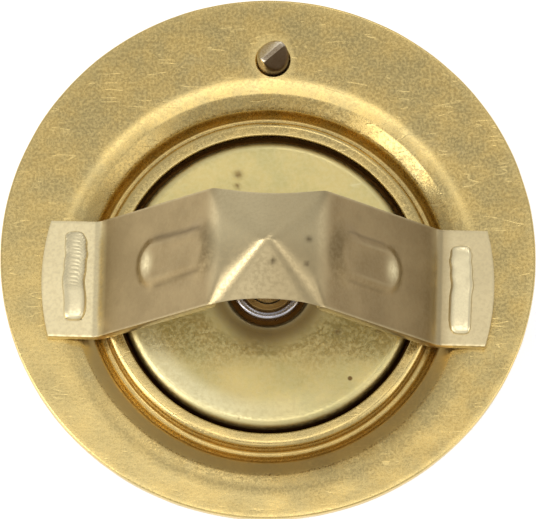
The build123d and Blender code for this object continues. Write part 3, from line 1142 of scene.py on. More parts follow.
@dataclass(frozen=True)
class Flange:
    """The pressed flange with the valve seat in it. Sizes are in millimetres."""

    rim_radius: float = 27.0
    sheet: float = 1.1
    rim_round: float = 0.25
    flat_from: float = 21.85
    flat_to: float = 24.1
    seat_bore: float = 15.5
    seat_depth: float = 2.6
    groove: tuple[Corner, ...] = (
        Corner(15.5, -0.3, 0.15),
        Corner(16.95, -0.3, 0.7),
        Corner(17.05, -2.1, 0.25),
        Corner(17.65, -2.1, 0.3),
        Corner(18.35, -1.0, 0.9),
        Corner(19.85, -0.3, 1.0),
        Corner(21.3, 0.0, 5.0),
    )
    under_outer: float = 20.9
    under_slope_end: float = 18.9
    under_inner: float = 16.69
    under_depth: float = 3.4
    lip_outer: float = 16.44
    slot_reach: float = 19.45
    slot_size: tuple[float, float] = (1.6, 8.4)
    pin_hole: float = 1.15
    pin_sink: float = 1.8
    # Painted highlight: the flat is made brighter on its lower-left side, where the lamps light it.
    side_sheen: float = 0.4
    sheen_towards: tuple[float, float, float] = (-0.72, -0.69, 0.0)
    # Painted light on the vent pin's sunk seat, which lies in the pin head's shadow.
    pin_seat_light: float = 0.8
    # Painted orange reflection and shade on the front of the groove's outer slope.
    slope_reflection: float = 0.4
    steps: int = 256
    marks: tuple[Mark, ...] = (
        # Painted shade on the groove's inner wall.
        Mark(16.5, 17.2, -2.2, -1.0, 0.2, soft=0.2),
        # Painted shade in the gap under the seat's edge.
        Mark(15.0, 15.75, -4.0, -1.3, 0.9, soft=0.15),
        # Painted highlight on the groove's outer shoulder.
        Mark(20.6, 21.4, -1.0, 0.5, 0.35, soft=0.5, layer="wear"),
    )

    def profile(self) -> list[Corner]:
        """The pressing's section, from the seat's lower edge over the top and back below."""
        least = self.rim_radius - LAYOUT.valve_offset
        return [
            Corner(self.seat_bore, -self.seat_depth, 0.2),
            *self.groove,
            Corner(least, 0.0, self.rim_round),
            Corner(least, -self.sheet, self.rim_round),
            Corner(self.under_outer, -self.sheet, 0.5),
            Corner(self.under_slope_end, -self.under_depth, 0.5),
            Corner(self.under_inner, -self.under_depth, 0.5),
            Corner(self.lip_outer, -self.seat_depth, 0.1),
        ]

    def widen_to_rim(self, shape: bmesh.types.BMesh) -> None:
        """Draws the flat out to the rim, which is round about its own centre.

        Args:
            shape: The spun pressing, whose rim is still round about the valve.
        """
        least = self.rim_radius - LAYOUT.valve_offset
        for vert in shape.verts:
            arm = vert.co - LAYOUT.valve_centre
            reach = math.hypot(arm.x, arm.y) / MM
            if reach <= self.flat_from:
                continue
            shift = LAYOUT.valve_offset * arm.y / (reach * MM)
            rim = shift + math.sqrt(shift**2 + self.rim_radius**2 - LAYOUT.valve_offset**2)
            share = min((reach - self.flat_from) / (self.flat_to - self.flat_from), 1.0)
            stretched = 1 + share * (rim - least) / reach
            vert.co.x = LAYOUT.valve_centre.x + arm.x * stretched
            vert.co.y = LAYOUT.valve_centre.y + arm.y * stretched

    def slot_cutter(self, side: int) -> bmesh.types.BMesh:
        """The block that cuts one of the two slots for the stirrup's tabs."""
        block = bmesh.new()
        size = Matrix.Diagonal((*self.slot_size, 3 * self.sheet, 1.0))
        place = Matrix.Translation((side * self.slot_reach, 0.0, -self.sheet / 2))
        bmesh.ops.create_cube(block, size=1.0, matrix=LAYOUT.strap_frame @ place @ size)
        return block

    def pin_cutter(self) -> bmesh.types.BMesh:
        """The turned shape that cuts the vent pin's hole and its sunk seat."""
        sink = self.pin_sink - self.pin_hole
        profile = [
            Corner(0.0, -2 * self.sheet),
            Corner(self.pin_hole, -2 * self.sheet),
            Corner(self.pin_hole, -sink),
            Corner(self.pin_sink + 1.0, 1.0),
            Corner(0.0, 1.0),
        ]
        return turned(profile, closed=False, steps=64, centre=LAYOUT.pin_centre)

    def paint_light(self, shape: bmesh.types.BMesh) -> None:
        """Paints light and shade on the pressing: a highlight on one side of the flat, light on the vent
        pin's sunk seat, which lies in the head's shadow, and an orange reflection and shade on the groove's
        front slope.

        Args:
            shape: The weathered pressing.
        """
        wear, soil = layers_of(shape)
        pin = LAYOUT.pin_centre
        for vert in shape.verts:
            side = max(vert.co.normalized().dot(Vector(self.sheen_towards)), 0.0)
            near_pin = 1 - smooth_step(2.0, 2.5, (vert.co - pin).length / MM)
            vert[wear] = max(vert[wear], self.side_sheen * side * side, self.pin_seat_light * near_pin)
            reach = (vert.co - LAYOUT.valve_centre).xy.length / MM
            slope = smooth_step(17.9, 18.5, reach) * (1 - smooth_step(19.3, 20.3, reach))
            front = smooth_step(0.0, 12.0, -vert.co.y / MM)
            vert[soil] = max(vert[soil], self.slope_reflection * slope * front)

    def build(self, bench: Bench) -> None:
        """Makes the pressing and hands it over.

        Args:
            bench: Where it is dressed.
        """
        shape = turned(
            self.profile(), closed=True, steps=self.steps, centre=LAYOUT.valve_centre, longest=0.36
        )
        self.widen_to_rim(shape)
        shape = cut(shape, [self.slot_cutter(-1), self.slot_cutter(1), self.pin_cutter()])
        roughen(shape, amount=0.03, wave=3.2, seed=3.0)
        roughen(shape, amount=0.008, wave=1.1, seed=8.0)
        wear_edges_and_shade_corners(shape, brightening=0.4, darkening=0.3)
        add_marks(shape, self.marks)
        self.paint_light(shape)
        mark_sharp(shape, 40.0)
        piece = as_object("flange_pressing", shape)
        bench.hand_over(piece, "flange", PRESSED_BRASS, Slot.PRESSED, Body.ROOT)


# ---------------------------------------------------------------- bridge


@dataclass(frozen=True)
class Rib:
    """A rib pressed outward from a leg: a tapered bar with round ends. Sizes are in millimetres."""

    start: float
    end: float
    foot_radius: float = 1.75
    head_radius: float = 1.45
    height: float = 0.42
    wall: float = 1.15
    dish: float = 0.04
    # Painted highlight at the rib's outer end, and painted shade along its long creases.
    end_glint: float = 1.0
    crease_shade: float = 0.4

    def off_middle(self, up_leg: float, across: float) -> tuple[float, float]:
        """How far a point is from the rib's middle line, and the rib's radius there."""
        share = min(max((up_leg - self.start) / (self.end - self.start), 0.0), 1.0)
        radius = self.foot_radius + (self.head_radius - self.foot_radius) * share
        return math.hypot(up_leg - self.start - share * (self.end - self.start), across), radius

    def tone(self, up_leg: float, across: float) -> tuple[float, float]:
        """Paints a highlight on the rib's outer end and shade along its long creases.

        Args:
            up_leg: Distance up the leg from its fold.
            across: Distance from the leg's middle.

        Returns:
            The painted highlight and the painted shade at the point.
        """
        away, radius = self.off_middle(up_leg, across)
        spot = math.exp(-(((up_leg - self.start + 1.35) / 0.85) ** 2) - (across / 1.15) ** 2)
        line = math.exp(-(((away - radius - 0.75) / 0.28) ** 2))
        beside = smooth_step(-0.6, 0.6, up_leg - self.start) * smooth_step(-1.6, -0.4, self.end - up_leg)
        return self.end_glint * spot, self.crease_shade * line * beside

    def lift(self, up_leg: float, across: float) -> float:
        """How far the rib stands off the leg, with a slightly sunk top.

        Args:
            up_leg: Distance up the leg from its fold.
            across: Distance from the leg's middle.

        Returns:
            The height above the leg's face.
        """
        away, radius = self.off_middle(up_leg, across)
        wall = self.wall * (1 + smooth_step(-2.0, 1.5, up_leg - self.end))
        ramp = 1 - smooth_step(radius - 0.15, radius + wall, away)
        return self.height * ramp - self.dish * (1 - smooth_step(radius - 0.6, radius, away))


@dataclass(frozen=True)
class Bridge:
    """The strap over the outlet side, with its pressed hip roof. Sizes are in millimetres."""

    sheet: float = 1.1
    half_width: float = 6.0
    set_forward: float = 0.33
    fold_reach: float = 17.2
    shoulder_reach: float = 5.5
    shoulder_height: float = 15.9
    apex_height: float = 19.65
    apex_soft: float = 0.5
    waist: float = 0.55
    foot_reach: float = 22.8
    slot_from: float = 18.65
    slot_to: float = 20.25
    slot_half_width: float = 4.2
    apex_blend: float = 0.5
    corner_blend: float = 1.8
    shoulder_blend: float = 0.35
    fold_blend: float = 0.5
    edge_bevel: float = 0.14
    left_rib: Rib = Rib(start=9.3, end=16.0)
    right_rib: Rib = Rib(start=8.8, end=14.3, head_radius=1.7)
    # Painted highlights on the up-facing feet, left then right.
    foot_highlights: tuple[float, float] = (1.0, 0.7)
    # Painted light on the left leg.
    leg_tone: float = 0.06
    # Painted light on the strap's downward faces.
    inner_tone: float = 0.85
    fold_shade: float = 0.45
    specks: tuple[Speck, ...] = (Speck(4.1, 0.1), Speck(0.5, -2.45, 0.26), Speck(3.85, -2.45, 0.24))
    # Painted light on the roof, lighter to the left and towards the back, where the lamps fall on it.
    roof_tone: float = 0.48
    left_tone: float = 0.06
    back_tone: float = 0.11
    # Painted shade on the right side of the strap, above the feet.
    right_shade: float = 0.22

    @property
    def frame(self) -> Matrix:
        """The matrix from the strap's own millimetres to the frame's metres."""
        return LAYOUT.strap_frame @ Matrix.Translation((0.0, -self.set_forward, 0.0))

    @property
    def leg_slope(self) -> float:
        """The rise of a leg for each millimetre inward."""
        return (self.shoulder_height - self.sheet) / (self.fold_reach - self.shoulder_reach)

    def half_at(self, along: float) -> float:
        """Half the strap's width at a distance from its middle, where the roof is drawn in."""
        if abs(along) >= self.shoulder_reach:
            return self.half_width
        radius = (self.shoulder_reach**2 + self.waist**2) / (2 * self.waist)
        return self.half_width - self.waist + radius - math.sqrt(radius**2 - along**2)

    def height(self, along: float, across: float) -> float:
        """The height of the strap's outer face, from the feet over the legs to the roof.

        Args:
            along: Distance from the valve's axis along the strap.
            across: Distance from the axis across the strap.

        Returns:
            The height above the flange.
        """
        rise = self.apex_height - self.shoulder_height
        soft = math.hypot(along, self.apex_soft) - self.apex_soft
        side = self.apex_height - soft * rise / self.shoulder_reach
        front = self.apex_height - abs(across) * rise / self.half_width
        leg = self.sheet + (self.fold_reach - abs(along)) * self.leg_slope
        far = min(math.hypot(along, across) / math.hypot(self.shoulder_reach, self.half_width), 1.0)
        blend = self.apex_blend + (self.corner_blend - self.apex_blend) * far
        roof = smooth_min(leg, smooth_min(side, front, blend), self.shoulder_blend)
        return smooth_max(self.sheet, roof, self.fold_blend)

    def place(self, along: float, across: float) -> Vector:
        """Puts a point of the flat strap onto the bent strap's outer face.

        Args:
            along: Its place along the strap.
            across: Its place across the strap.

        Returns:
            Its place in the frame, in metres.
        """
        side = math.copysign(1.0, along)
        reach = abs(along)
        across *= self.half_at(along) / self.half_width
        if reach > self.slot_to:
            end = math.sqrt(self.foot_reach**2 - across**2)
            share = (reach - self.slot_to) / (self.foot_reach - self.slot_to)
            reach = self.slot_to + share * (end - self.slot_to)
        height = self.height(reach, across)
        lean = math.atan(self.leg_slope)
        up_leg = (self.fold_reach - reach) / math.cos(lean)
        rib = self.left_rib if side < 0 else self.right_rib
        lift = rib.lift(up_leg, across)
        point = Vector((side * (reach + lift * math.sin(lean)), across, height + lift * math.cos(lean)))
        return self.frame @ point

    def in_slot(self, face: bmesh.types.BMFace) -> bool:
        """Whether a face of the strap lies where a slot is."""
        middle = self.frame.inverted() @ face.calc_center_median()
        return self.slot_from < abs(middle.x) < self.slot_to and abs(middle.y) < self.slot_half_width

    def outer_face(self) -> bmesh.types.BMesh:
        """The strap's outer face as an open sheet with its two slots."""
        along = mirrored(
            (self.shoulder_reach, 16.5, 17.9, self.slot_from, self.slot_to, self.foot_reach),
            (22, 44, 12, 4, 6, 10),
        )
        across = mirrored((self.slot_half_width, self.half_width), (15, 7))
        sheet = ruled_grid(along, across, self.place)
        holes = [face for face in sheet.faces if self.in_slot(face)]
        bmesh.ops.delete(sheet, geom=holes, context="FACES")
        sheet.normal_update()
        if sum(face.normal.z for face in sheet.faces) < 0:
            bmesh.ops.reverse_faces(sheet, faces=sheet.faces[:])
        return sheet

    def thickened(self, sheet: bmesh.types.BMesh) -> bmesh.types.BMesh:
        """Gives the sheet its thickness inward and breaks its sharp edges.

        Args:
            sheet: The outer face, which is freed.

        Returns:
            The closed strap.
        """
        piece = as_object("strap_sheet", sheet)
        solid = piece.modifiers.new("thickness", "SOLIDIFY")
        solid.thickness = self.sheet * MM
        solid.offset = -1.0
        solid.use_even_offset = True
        bevel = piece.modifiers.new("broken_edges", "BEVEL")
        bevel.width = self.edge_bevel * MM
        bevel.segments = 3
        bevel.limit_method = "ANGLE"
        bevel.angle_limit = math.radians(60.0)
        return with_modifiers(piece)

    def brighten(self, shape: bmesh.types.BMesh) -> None:
        """Paints light and shade on the strap: highlights on the feet, the roof, the left leg, the rib ends
        and the downward faces, and shade on the right side and in the rib creases.

        Args:
            shape: The weathered strap.
        """
        wear, soil = layers_of(shape)
        flat = self.frame.inverted()
        for vert in shape.verts:
            along, across, height = flat @ vert.co
            low = 1 - smooth_step(self.sheet + 0.2, self.sheet + 1.4, height)
            roof = 1 - smooth_step(self.shoulder_reach - 0.8, self.shoulder_reach + 1.2, abs(along))
            tone = self.roof_tone - self.left_tone * math.tanh(along) + self.back_tone * math.tanh(across)
            rib = self.left_rib if along < 0 else self.right_rib
            up_leg = (self.fold_reach - abs(along)) / math.cos(math.atan(self.leg_slope))
            end_glint, crease_shade = rib.tone(up_leg, across)
            side_shade = self.right_shade * (1 - low) * smooth_step(2.0, 9.0, along)
            inner = self.inner_tone * smooth_step(0.0, 0.3, -vert.normal.z)
            near_fold = 1 - smooth_step(self.slot_from - 1.2, self.slot_from, along)
            low *= 1 - self.fold_shade * near_fold * (along > 0)
            foot = self.foot_highlights[along > 0] * low
            leg = self.leg_tone * (along < 0)
            vert[wear] = max(vert[wear], foot, tone * roof, end_glint, inner, leg)
            vert[soil] = max(vert[soil], side_shade, crease_shade)

    def build(self, bench: Bench) -> None:
        """Makes the strap and hands it over.

        Args:
            bench: Where it is dressed.
        """
        shape = self.thickened(self.outer_face())
        roughen(shape, amount=0.012, wave=3.5, seed=5.0)
        wear_edges_and_shade_corners(shape, brightening=0.35, darkening=0.2)
        self.brighten(shape)
        for speck in self.specks:
            speck.add_to(shape)
        mark_sharp(shape, 50.0)
        piece = as_object("bridge_strap", shape)
        bench.hand_over(piece, "bridge", STRAP_BRASS, Slot.STRAP, Body.ROOT)


# ---------------------------------------------------------------- stirrup


@dataclass(frozen=True)
class TabHead:
    """A tab end hammered over on a foot of the bridge. Sizes are in millimetres."""

    side: int
    shift: float
    half_length: float = 4.6
    half_thick: float = 1.15
    rise: float = 0.5
    serrated_from: float = 9.0
    serration: float = 0.0
    border: float = 0.0
    steps_round: int = 40
    steps_along: int = 150

    def place(self, along: float, turn: float) -> Vector:
        """Puts a point of the head's skin in place.

        Args:
            along: Its place along the head, from -1 to 1.
            turn: Its place round the head, from 0 to 1.

        Returns:
            Its place in the strap's frame, in millimetres.
        """
        along = math.sin(along * math.pi / 2)
        angle = turn * math.tau
        taper = max(1 - abs(along) ** 9, 0.0) ** 0.3
        lean, flat = math.cos(angle), math.sin(angle)
        across = math.copysign(abs(lean) ** 0.7, lean) * self.half_thick * taper
        length = along * self.half_length
        across += 0.09 * math.sin(length * 1.1 + self.side) + 0.04 * math.sin(length * 2.9 + length**2 * 0.3)
        height = math.copysign(abs(flat) ** 0.55, flat) * self.rise * taper
        if flat > 0:
            ridge = abs(math.sin((length + across * self.side) * 8.0))
            notched = smooth_step(self.serrated_from - 0.5, self.serrated_from + 0.5, length)
            height -= self.serration * ridge * notched
            height += self.border * smooth_step(0.35, 0.85, across / self.half_thick) * flat
        return Vector((across, length, height))

    def build(self, reach: float, base: float) -> bmesh.types.BMesh:
        """Makes the head as a closed skin.

        Args:
            reach: How far the tab stands from the valve's axis.
            base: The height that the head sits on.

        Returns:
            The head in its place.
        """
        place = LAYOUT.strap_frame @ Matrix.Translation((self.side * reach, self.shift, base))
        along = Ruler((-1.0, 1.0), (self.steps_along,))
        turn = Ruler((0.0, 1.0), (self.steps_round,))
        head = ruled_grid(along, turn, lambda length, round_it: place @ self.place(length, round_it))
        bmesh.ops.remove_doubles(head, verts=head.verts[:], dist=0.002 * MM)
        bmesh.ops.recalc_face_normals(head, faces=head.faces[:])
        return head


@dataclass(frozen=True)
class Stirrup:
    """The frame under the flange, whose tabs are hammered over above it. Sizes are in millimetres."""

    tab_reach: float = 19.45
    tab_top: float = 1.1
    left_head: TabHead = TabHead(side=-1, shift=0.0, serrated_from=-1.2, serration=0.05)
    right_head: TabHead = TabHead(side=1, shift=-0.55, border=0.12)

    def body(self) -> bmesh.types.BMesh:
        """The stirrup up to the top of its tabs, without their hammered ends."""
        shape = copy_of("lower_frame")
        cut_at = Vector((0.0, 0.0, (self.tab_top - 0.02) * MM))
        everything = shape.verts[:] + shape.edges[:] + shape.faces[:]
        bmesh.ops.bisect_plane(shape, geom=everything, plane_co=cut_at, plane_no=UP, clear_outer=True)
        bmesh.ops.holes_fill(shape, edges=[edge for edge in shape.edges if edge.is_boundary])
        bmesh.ops.recalc_face_normals(shape, faces=shape.faces[:])
        return shape

    def brighten_heads(self, shape: bmesh.types.BMesh) -> None:
        """Marks the hammered heads as rubbed bright.

        Args:
            shape: The weathered stirrup.
        """
        wear = shape.verts.layers.float["wear"]
        for vert in shape.verts:
            above = smooth_step(self.tab_top - 0.1, self.tab_top + 0.2, vert.co.z / MM)
            vert[wear] = max(vert[wear], 0.95 * above)

    def build(self, bench: Bench) -> None:
        """Makes the stirrup and hands it over.

        Args:
            bench: Where it is dressed.
        """
        shape = self.body()
        for head in (self.left_head, self.right_head):
            made = head.build(self.tab_reach, self.tab_top)
            mesh = bpy.data.meshes.new("tab_head")
            made.to_mesh(mesh)
            made.free()
            shape.from_mesh(mesh)
            bpy.data.meshes.remove(mesh)
        wear_edges_and_shade_corners(shape, brightening=0.5, darkening=0.2)
        self.brighten_heads(shape)
        mark_sharp(shape, 35.0)
        piece = as_object("stirrup_frame", shape)
        bench.hand_over(piece, "lower_frame", TAB_BRASS, Slot.STRAP, Body.ROOT)


# ---------------------------------------------------------------- valve


@dataclass(frozen=True)
class TurnedPart:
    """A part that is round about the valve's axis. Sizes are in millimetres."""

    name: str
    node: str
    corners: tuple[Corner, ...]
    finish: Metal
    slot: Slot
    body: Body = Body.VALVE
    closed: bool = True
    steps: int = 192
    longest: float = 0.6
    uneven: float = 0.0
    marks: tuple[Mark, ...] = ()
    specks: tuple[Speck, ...] = ()

    def build(self, bench: Bench) -> None:
        """Makes the part and hands it over.

        Args:
            bench: Where it is dressed.
        """
        shape = turned(
            self.corners,
            closed=self.closed,
            steps=self.steps,
            centre=LAYOUT.valve_centre,
            longest=self.longest,
        )
        if self.uneven:
            roughen(shape, amount=self.uneven, wave=3.0, seed=float(len(self.name)))
        wear_edges_and_shade_corners(shape, brightening=0.5, darkening=0.3)
        add_marks(shape, self.marks)
        for speck in self.specks:
            speck.add_to(shape)
        mark_sharp(shape, 40.0)
        bench.hand_over(as_object(self.name, shape), self.node, self.finish, self.slot, self.body)


VALVE_DISC = TurnedPart(
    name="valve_disc",
    node="valve_plate",
    corners=(
        Corner(2.88, -1.6, 0.05),
        Corner(4.05, -1.6, 0.2),
        Corner(4.4, -0.85, 0.3),
        Corner(7.0, -0.35, 6.0),
        Corner(14.95, -0.35, 1.0),
        Corner(14.95, -2.65, 0.3),
        Corner(16.3, -2.65, 0.3),
        Corner(16.3, -3.65, 0.3),
        Corner(13.65, -3.65, 0.3),
        Corner(13.65, -1.35, 0.6),
        Corner(7.0, -1.35, 0.3),
        Corner(4.4, -2.6, 0.3),
        Corner(2.88, -2.6, 0.05),
    ),
    finish=PLATE_BRASS,
    slot=Slot.PLATE,
    steps=256,
    longest=0.32,
    uneven=0.02,
    specks=(Speck(-3.0, 11.4, 0.4), Speck(-3.1, 10.2, 0.26), Speck(7.0, -5.0, 0.34), Speck(11.2, -4.8, 0.34)),
    marks=(
        # Painted shade in the recess round the neck ring.
        Mark(3.0, 4.1, -2.0, -0.6, 1.0, soft=0.12),
        # Painted orange reflection and shade round the neck ring.
        Mark(4.0, 6.1, -1.4, 0.2, 0.85, soft=1.2),
        # Painted highlight near the rim, towards the lower left.
        Mark(12.2, 14.4, -1.0, 0.3, 0.95, soft=0.9, layer="wear", towards_deg=228.0),
        # Painted shade on the plate's rounded rim and flare, which face away from the light.
        Mark(14.8, 17.0, -4.0, 1.0, 0.85, soft=0.6),
        # Painted shade on the flare and the plate's outer side, down in the gap.
        Mark(14.6, 17.0, -4.0, -1.1, 1.0, soft=0.2),
    ),
)
NECK_RING = TurnedPart(
    name="neck_ring",
    node="retaining_ring",
    corners=(
        Corner(2.88, -1.6, 0.05),
        Corner(3.58, -1.6, 0.05),
        Corner(3.58, -0.45, 0.3),
        Corner(2.88, -0.45, 0.3),
    ),
    finish=RING_STEEL,
    slot=Slot.RING,
    steps=128,
    longest=0.15,
)
GUIDE = TurnedPart(
    name="capsule_neck",
    node="capsule_guide",
    corners=(
        Corner(1.95, -0.85, 0.08),
        Corner(2.55, -0.85, 0.1),
        Corner(2.85, -1.15, 0.1),
        Corner(2.85, -2.6),
        Corner(4.3, -2.6, 0.3),
        Corner(4.3, -13.6, 0.3),
        Corner(6.45, -13.6, 0.1),
        Corner(6.45, -15.6),
        Corner(4.4, -15.6),
        Corner(1.95, -13.2),
    ),
    finish=TURNED_BRASS_WITH_SHADE,
    slot=Slot.TURNED,
    steps=128,
)
CUP = TurnedPart(
    name="wax_cup",
    node="capsule_cup",
    corners=(
        Corner(5.1, -13.6),
        Corner(5.1, -12.9, 0.25),
        Corner(7.28, -12.9, 0.5),
        Corner(7.28, -17.4, 0.5),
        Corner(5.7, -17.4, 0.5),
        Corner(5.7, -33.0, 1.2),
        Corner(0.0, -33.0),
        Corner(0.0, -32.2),
        Corner(4.9, -32.2, 0.5),
        Corner(4.9, -16.6),
        Corner(6.48, -16.6),
        Corner(6.48, -13.6),
    ),
    finish=DRAWN_BRASS,
    slot=Slot.CUP,
    steps=144,
)
PISTON_ROD = TurnedPart(
    name="piston_rod",
    node="piston",
    corners=(
        Corner(0.0, -11.6),
        Corner(1.9, -11.6, 0.1),
        Corner(1.9, 15.88, 0.3),
        Corner(0.7, 18.08, 0.25),
        Corner(0.0, 18.08),
    ),
    finish=GROUND_STEEL,
    slot=Slot.PISTON,
    body=Body.ROOT,
    closed=False,
    steps=96,
)


@dataclass(frozen=True)
class ClosingSpring:
    """The cone-shaped closing spring. Sizes are in millimetres."""

    wire_radius: float = 0.9
    foot_radius: float = 8.05
    head_radius: float = 11.6
    foot_height: float = -27.2
    head_height: float = -2.35
    turns: float = 6.0
    flat_turns: float = 0.4
    ramp_turns: float = 0.4
    points_per_turn: int = 56
    pan_height: float = -28.2
    keep: float = 0.702

    def rise(self, turn: float) -> float:
        """How many turns' worth of pitch the wire has risen by a turn: none at first, then eased in."""
        eased = min(max(turn - self.flat_turns, 0.0), self.ramp_turns)
        swing = self.ramp_turns / math.pi * math.sin(math.pi * eased / self.ramp_turns)
        return (eased - swing) / 2 + max(turn - self.flat_turns - self.ramp_turns, 0.0)

    def point(self, turn: float) -> Vector:
        """A point of the wire's middle line.

        Args:
            turn: How many turns up from the lower end.

        Returns:
            Its place in the frame, in metres.
        """
        span = self.head_height - self.foot_height
        pitch = span / (self.turns - 2 * self.flat_turns - self.ramp_turns)
        if turn <= self.turns / 2:
            height = self.foot_height + pitch * self.rise(turn)
        else:
            height = self.head_height - pitch * self.rise(self.turns - turn)
        radius = self.foot_radius + (self.head_radius - self.foot_radius) * turn / self.turns
        angle = math.tau * turn
        return LAYOUT.valve_centre + Vector((radius * math.cos(angle), radius * math.sin(angle), height)) * MM

    def wire(self) -> bmesh.types.BMesh:
        """The wire as a closed mesh, made from a curve."""
        curve = bpy.data.curves.new("wire", "CURVE")
        curve.dimensions = "3D"
        curve.bevel_depth = self.wire_radius * MM
        curve.bevel_resolution = 5
        curve.use_fill_caps = True
        line = curve.splines.new("POLY")
        count = round(self.turns * self.points_per_turn)
        line.points.add(count)
        for index, point in enumerate(line.points):
            point.co = (*self.point(self.turns * index / count), 1.0)
        path = bpy.data.objects.new("wire_path", curve)
        bpy.context.scene.collection.objects.link(path)
        shape = with_modifiers(path)
        bpy.data.curves.remove(curve)
        bmesh.ops.remove_doubles(shape, verts=shape.verts[:], dist=1e-3 * MM)
        bmesh.ops.recalc_face_normals(shape, faces=shape.faces[:])
        return shape

    def build(self, bench: Bench) -> None:
        """Makes the spring and hands it over.

        Args:
            bench: Where it is dressed.
        """
        shape = self.wire()
        wear_edges_and_shade_corners(shape, brightening=0.3, darkening=0.0)
        mark_sharp(shape, 60.0)
        piece = as_object("closing_spring", shape)
        bench.hand_over(piece, "main_spring", WIRE_STEEL, Slot.SPRING, Body.ROOT)
        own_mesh(piece)


# ---------------------------------------------------------------- vent pin


@dataclass(frozen=True)
class VentPin:
    """The loose pin that lets air past, with a head pinched to a ridge. Sizes are in millimetres."""

    head_radius: float = 1.6
    head_height: float = 3.0
    stem_radius: float = 0.7
    seat_top: float = -0.13
    bob_radius: float = 1.75
    bob_top: float = -2.65
    bob_length: float = 4.2
    ridge_turn_deg: float = 41.0
    ridge_half_width: float = 0.22
    facet_deg: float = 52.0

    def profile(self) -> list[Corner]:
        """The pin's section from the bob's end up to the top of the head."""
        cone = self.head_radius - self.stem_radius
        bob_end = self.bob_top - self.bob_length
        return [
            Corner(0.0, bob_end),
            Corner(self.bob_radius, bob_end, 0.8),
            Corner(self.bob_radius, self.bob_top, 0.4),
            Corner(self.stem_radius, self.bob_top, 0.1),
            Corner(self.stem_radius, self.seat_top - cone, 0.3),
            Corner(self.head_radius, self.seat_top, 0.3),
            Corner(self.head_radius, self.head_height * 0.5, 0.9),
            Corner(self.head_radius * 0.9, self.head_height, 0.3),
            Corner(0.0, self.head_height),
        ]

    def pinch(self, shape: bmesh.types.BMesh) -> None:
        """Presses the head's two sides in to a ridge.

        Args:
            shape: The turned pin.
        """
        turn = math.radians(self.ridge_turn_deg)
        ridge = Vector((math.cos(turn), math.sin(turn), 0.0))
        side = Vector((-ridge.y, ridge.x, 0.0))
        centre = LAYOUT.pin_centre
        for vert in shape.verts:
            down = self.head_height - vert.co.z / MM
            room = self.ridge_half_width + down / math.tan(math.radians(self.facet_deg))
            away = (vert.co - centre).dot(side) / MM
            kept = math.copysign(smooth_min(abs(away), room, 0.25), away) if abs(away) > 0.02 else away
            if vert.co.z > 0.0:
                vert.co += side * ((kept - away) * MM)

    def paint_facet_light(self, shape: bmesh.types.BMesh) -> None:
        """Paints a highlight on the facet behind the ridge and shade on the one before it.

        Args:
            shape: The weathered pin.
        """
        turn = math.radians(self.ridge_turn_deg)
        behind = Vector((-math.sin(turn), math.cos(turn), 0.0))
        wear, soil = layers_of(shape)
        for vert in shape.verts:
            facing = vert.normal.dot(behind)
            vert[wear] = max(vert[wear], 0.9 * smooth_step(0.1, 0.6, facing))
            vert[soil] = max(vert[soil], 0.85 * smooth_step(0.1, 0.6, -facing))

    def build(self, bench: Bench) -> None:
        """Makes the pin and hands it over.

        Args:
            bench: Where it is dressed.
        """
        shape = turned(self.profile(), closed=False, steps=72, centre=LAYOUT.pin_centre, longest=0.12)
        self.pinch(shape)
        wear_edges_and_shade_corners(shape, brightening=0.25, darkening=0.1)
        self.paint_facet_light(shape)
        mark_sharp(shape, 60.0)
        bench.hand_over(as_object("jiggle_pin", shape), "vent_pin", PIN_BRASS, Slot.PIN, Body.VENT)


# ---------------------------------------------------------------- stage


@dataclass(frozen=True)
class Lamp:
    """A square soft lamp. Lengths are in metres."""

    name: str
    towards: tuple[float, float, float]
    distance: float
    size: float
    radiance: float

    def build(self) -> None:
        """Hangs the lamp in its direction, turned to the object."""
        data = bpy.data.lights.new(self.name, "AREA")
        data.shape = "SQUARE"
        data.size = self.size
        data.energy = self.radiance * math.pi * self.size**2
        lamp = bpy.data.objects.new(self.name, data)
        direction = Vector(self.towards).normalized()
        lamp.location = direction * self.distance
        lamp.rotation_mode = "QUATERNION"
        lamp.rotation_quaternion = direction.to_track_quat("Z", "Y")
        lamp.visible_camera = False
        bpy.context.scene.collection.objects.link(lamp)


LAMPS = (
    Lamp("overhead_box", (0.0, -0.08, 1.0), 0.44, 0.21, 1.6),
    Lamp("left_key", (-0.58, -0.31, 0.76), 0.5, 0.17, 4.6),
    Lamp("right_key", (0.58, -0.31, 0.76), 0.5, 0.17, 1.2),
    Lamp("left_wall", (-0.85, -0.30, 0.35), 0.5, 0.25, 3.0),
    Lamp("right_wall", (0.85, -0.30, 0.35), 0.5, 0.25, 1.5),
    Lamp("back_box", (0.15, 0.65, 0.74), 0.5, 0.15, 2.0),
    Lamp("front_box", (-0.05, -0.78, 0.62), 0.5, 0.18, 0.72),
)


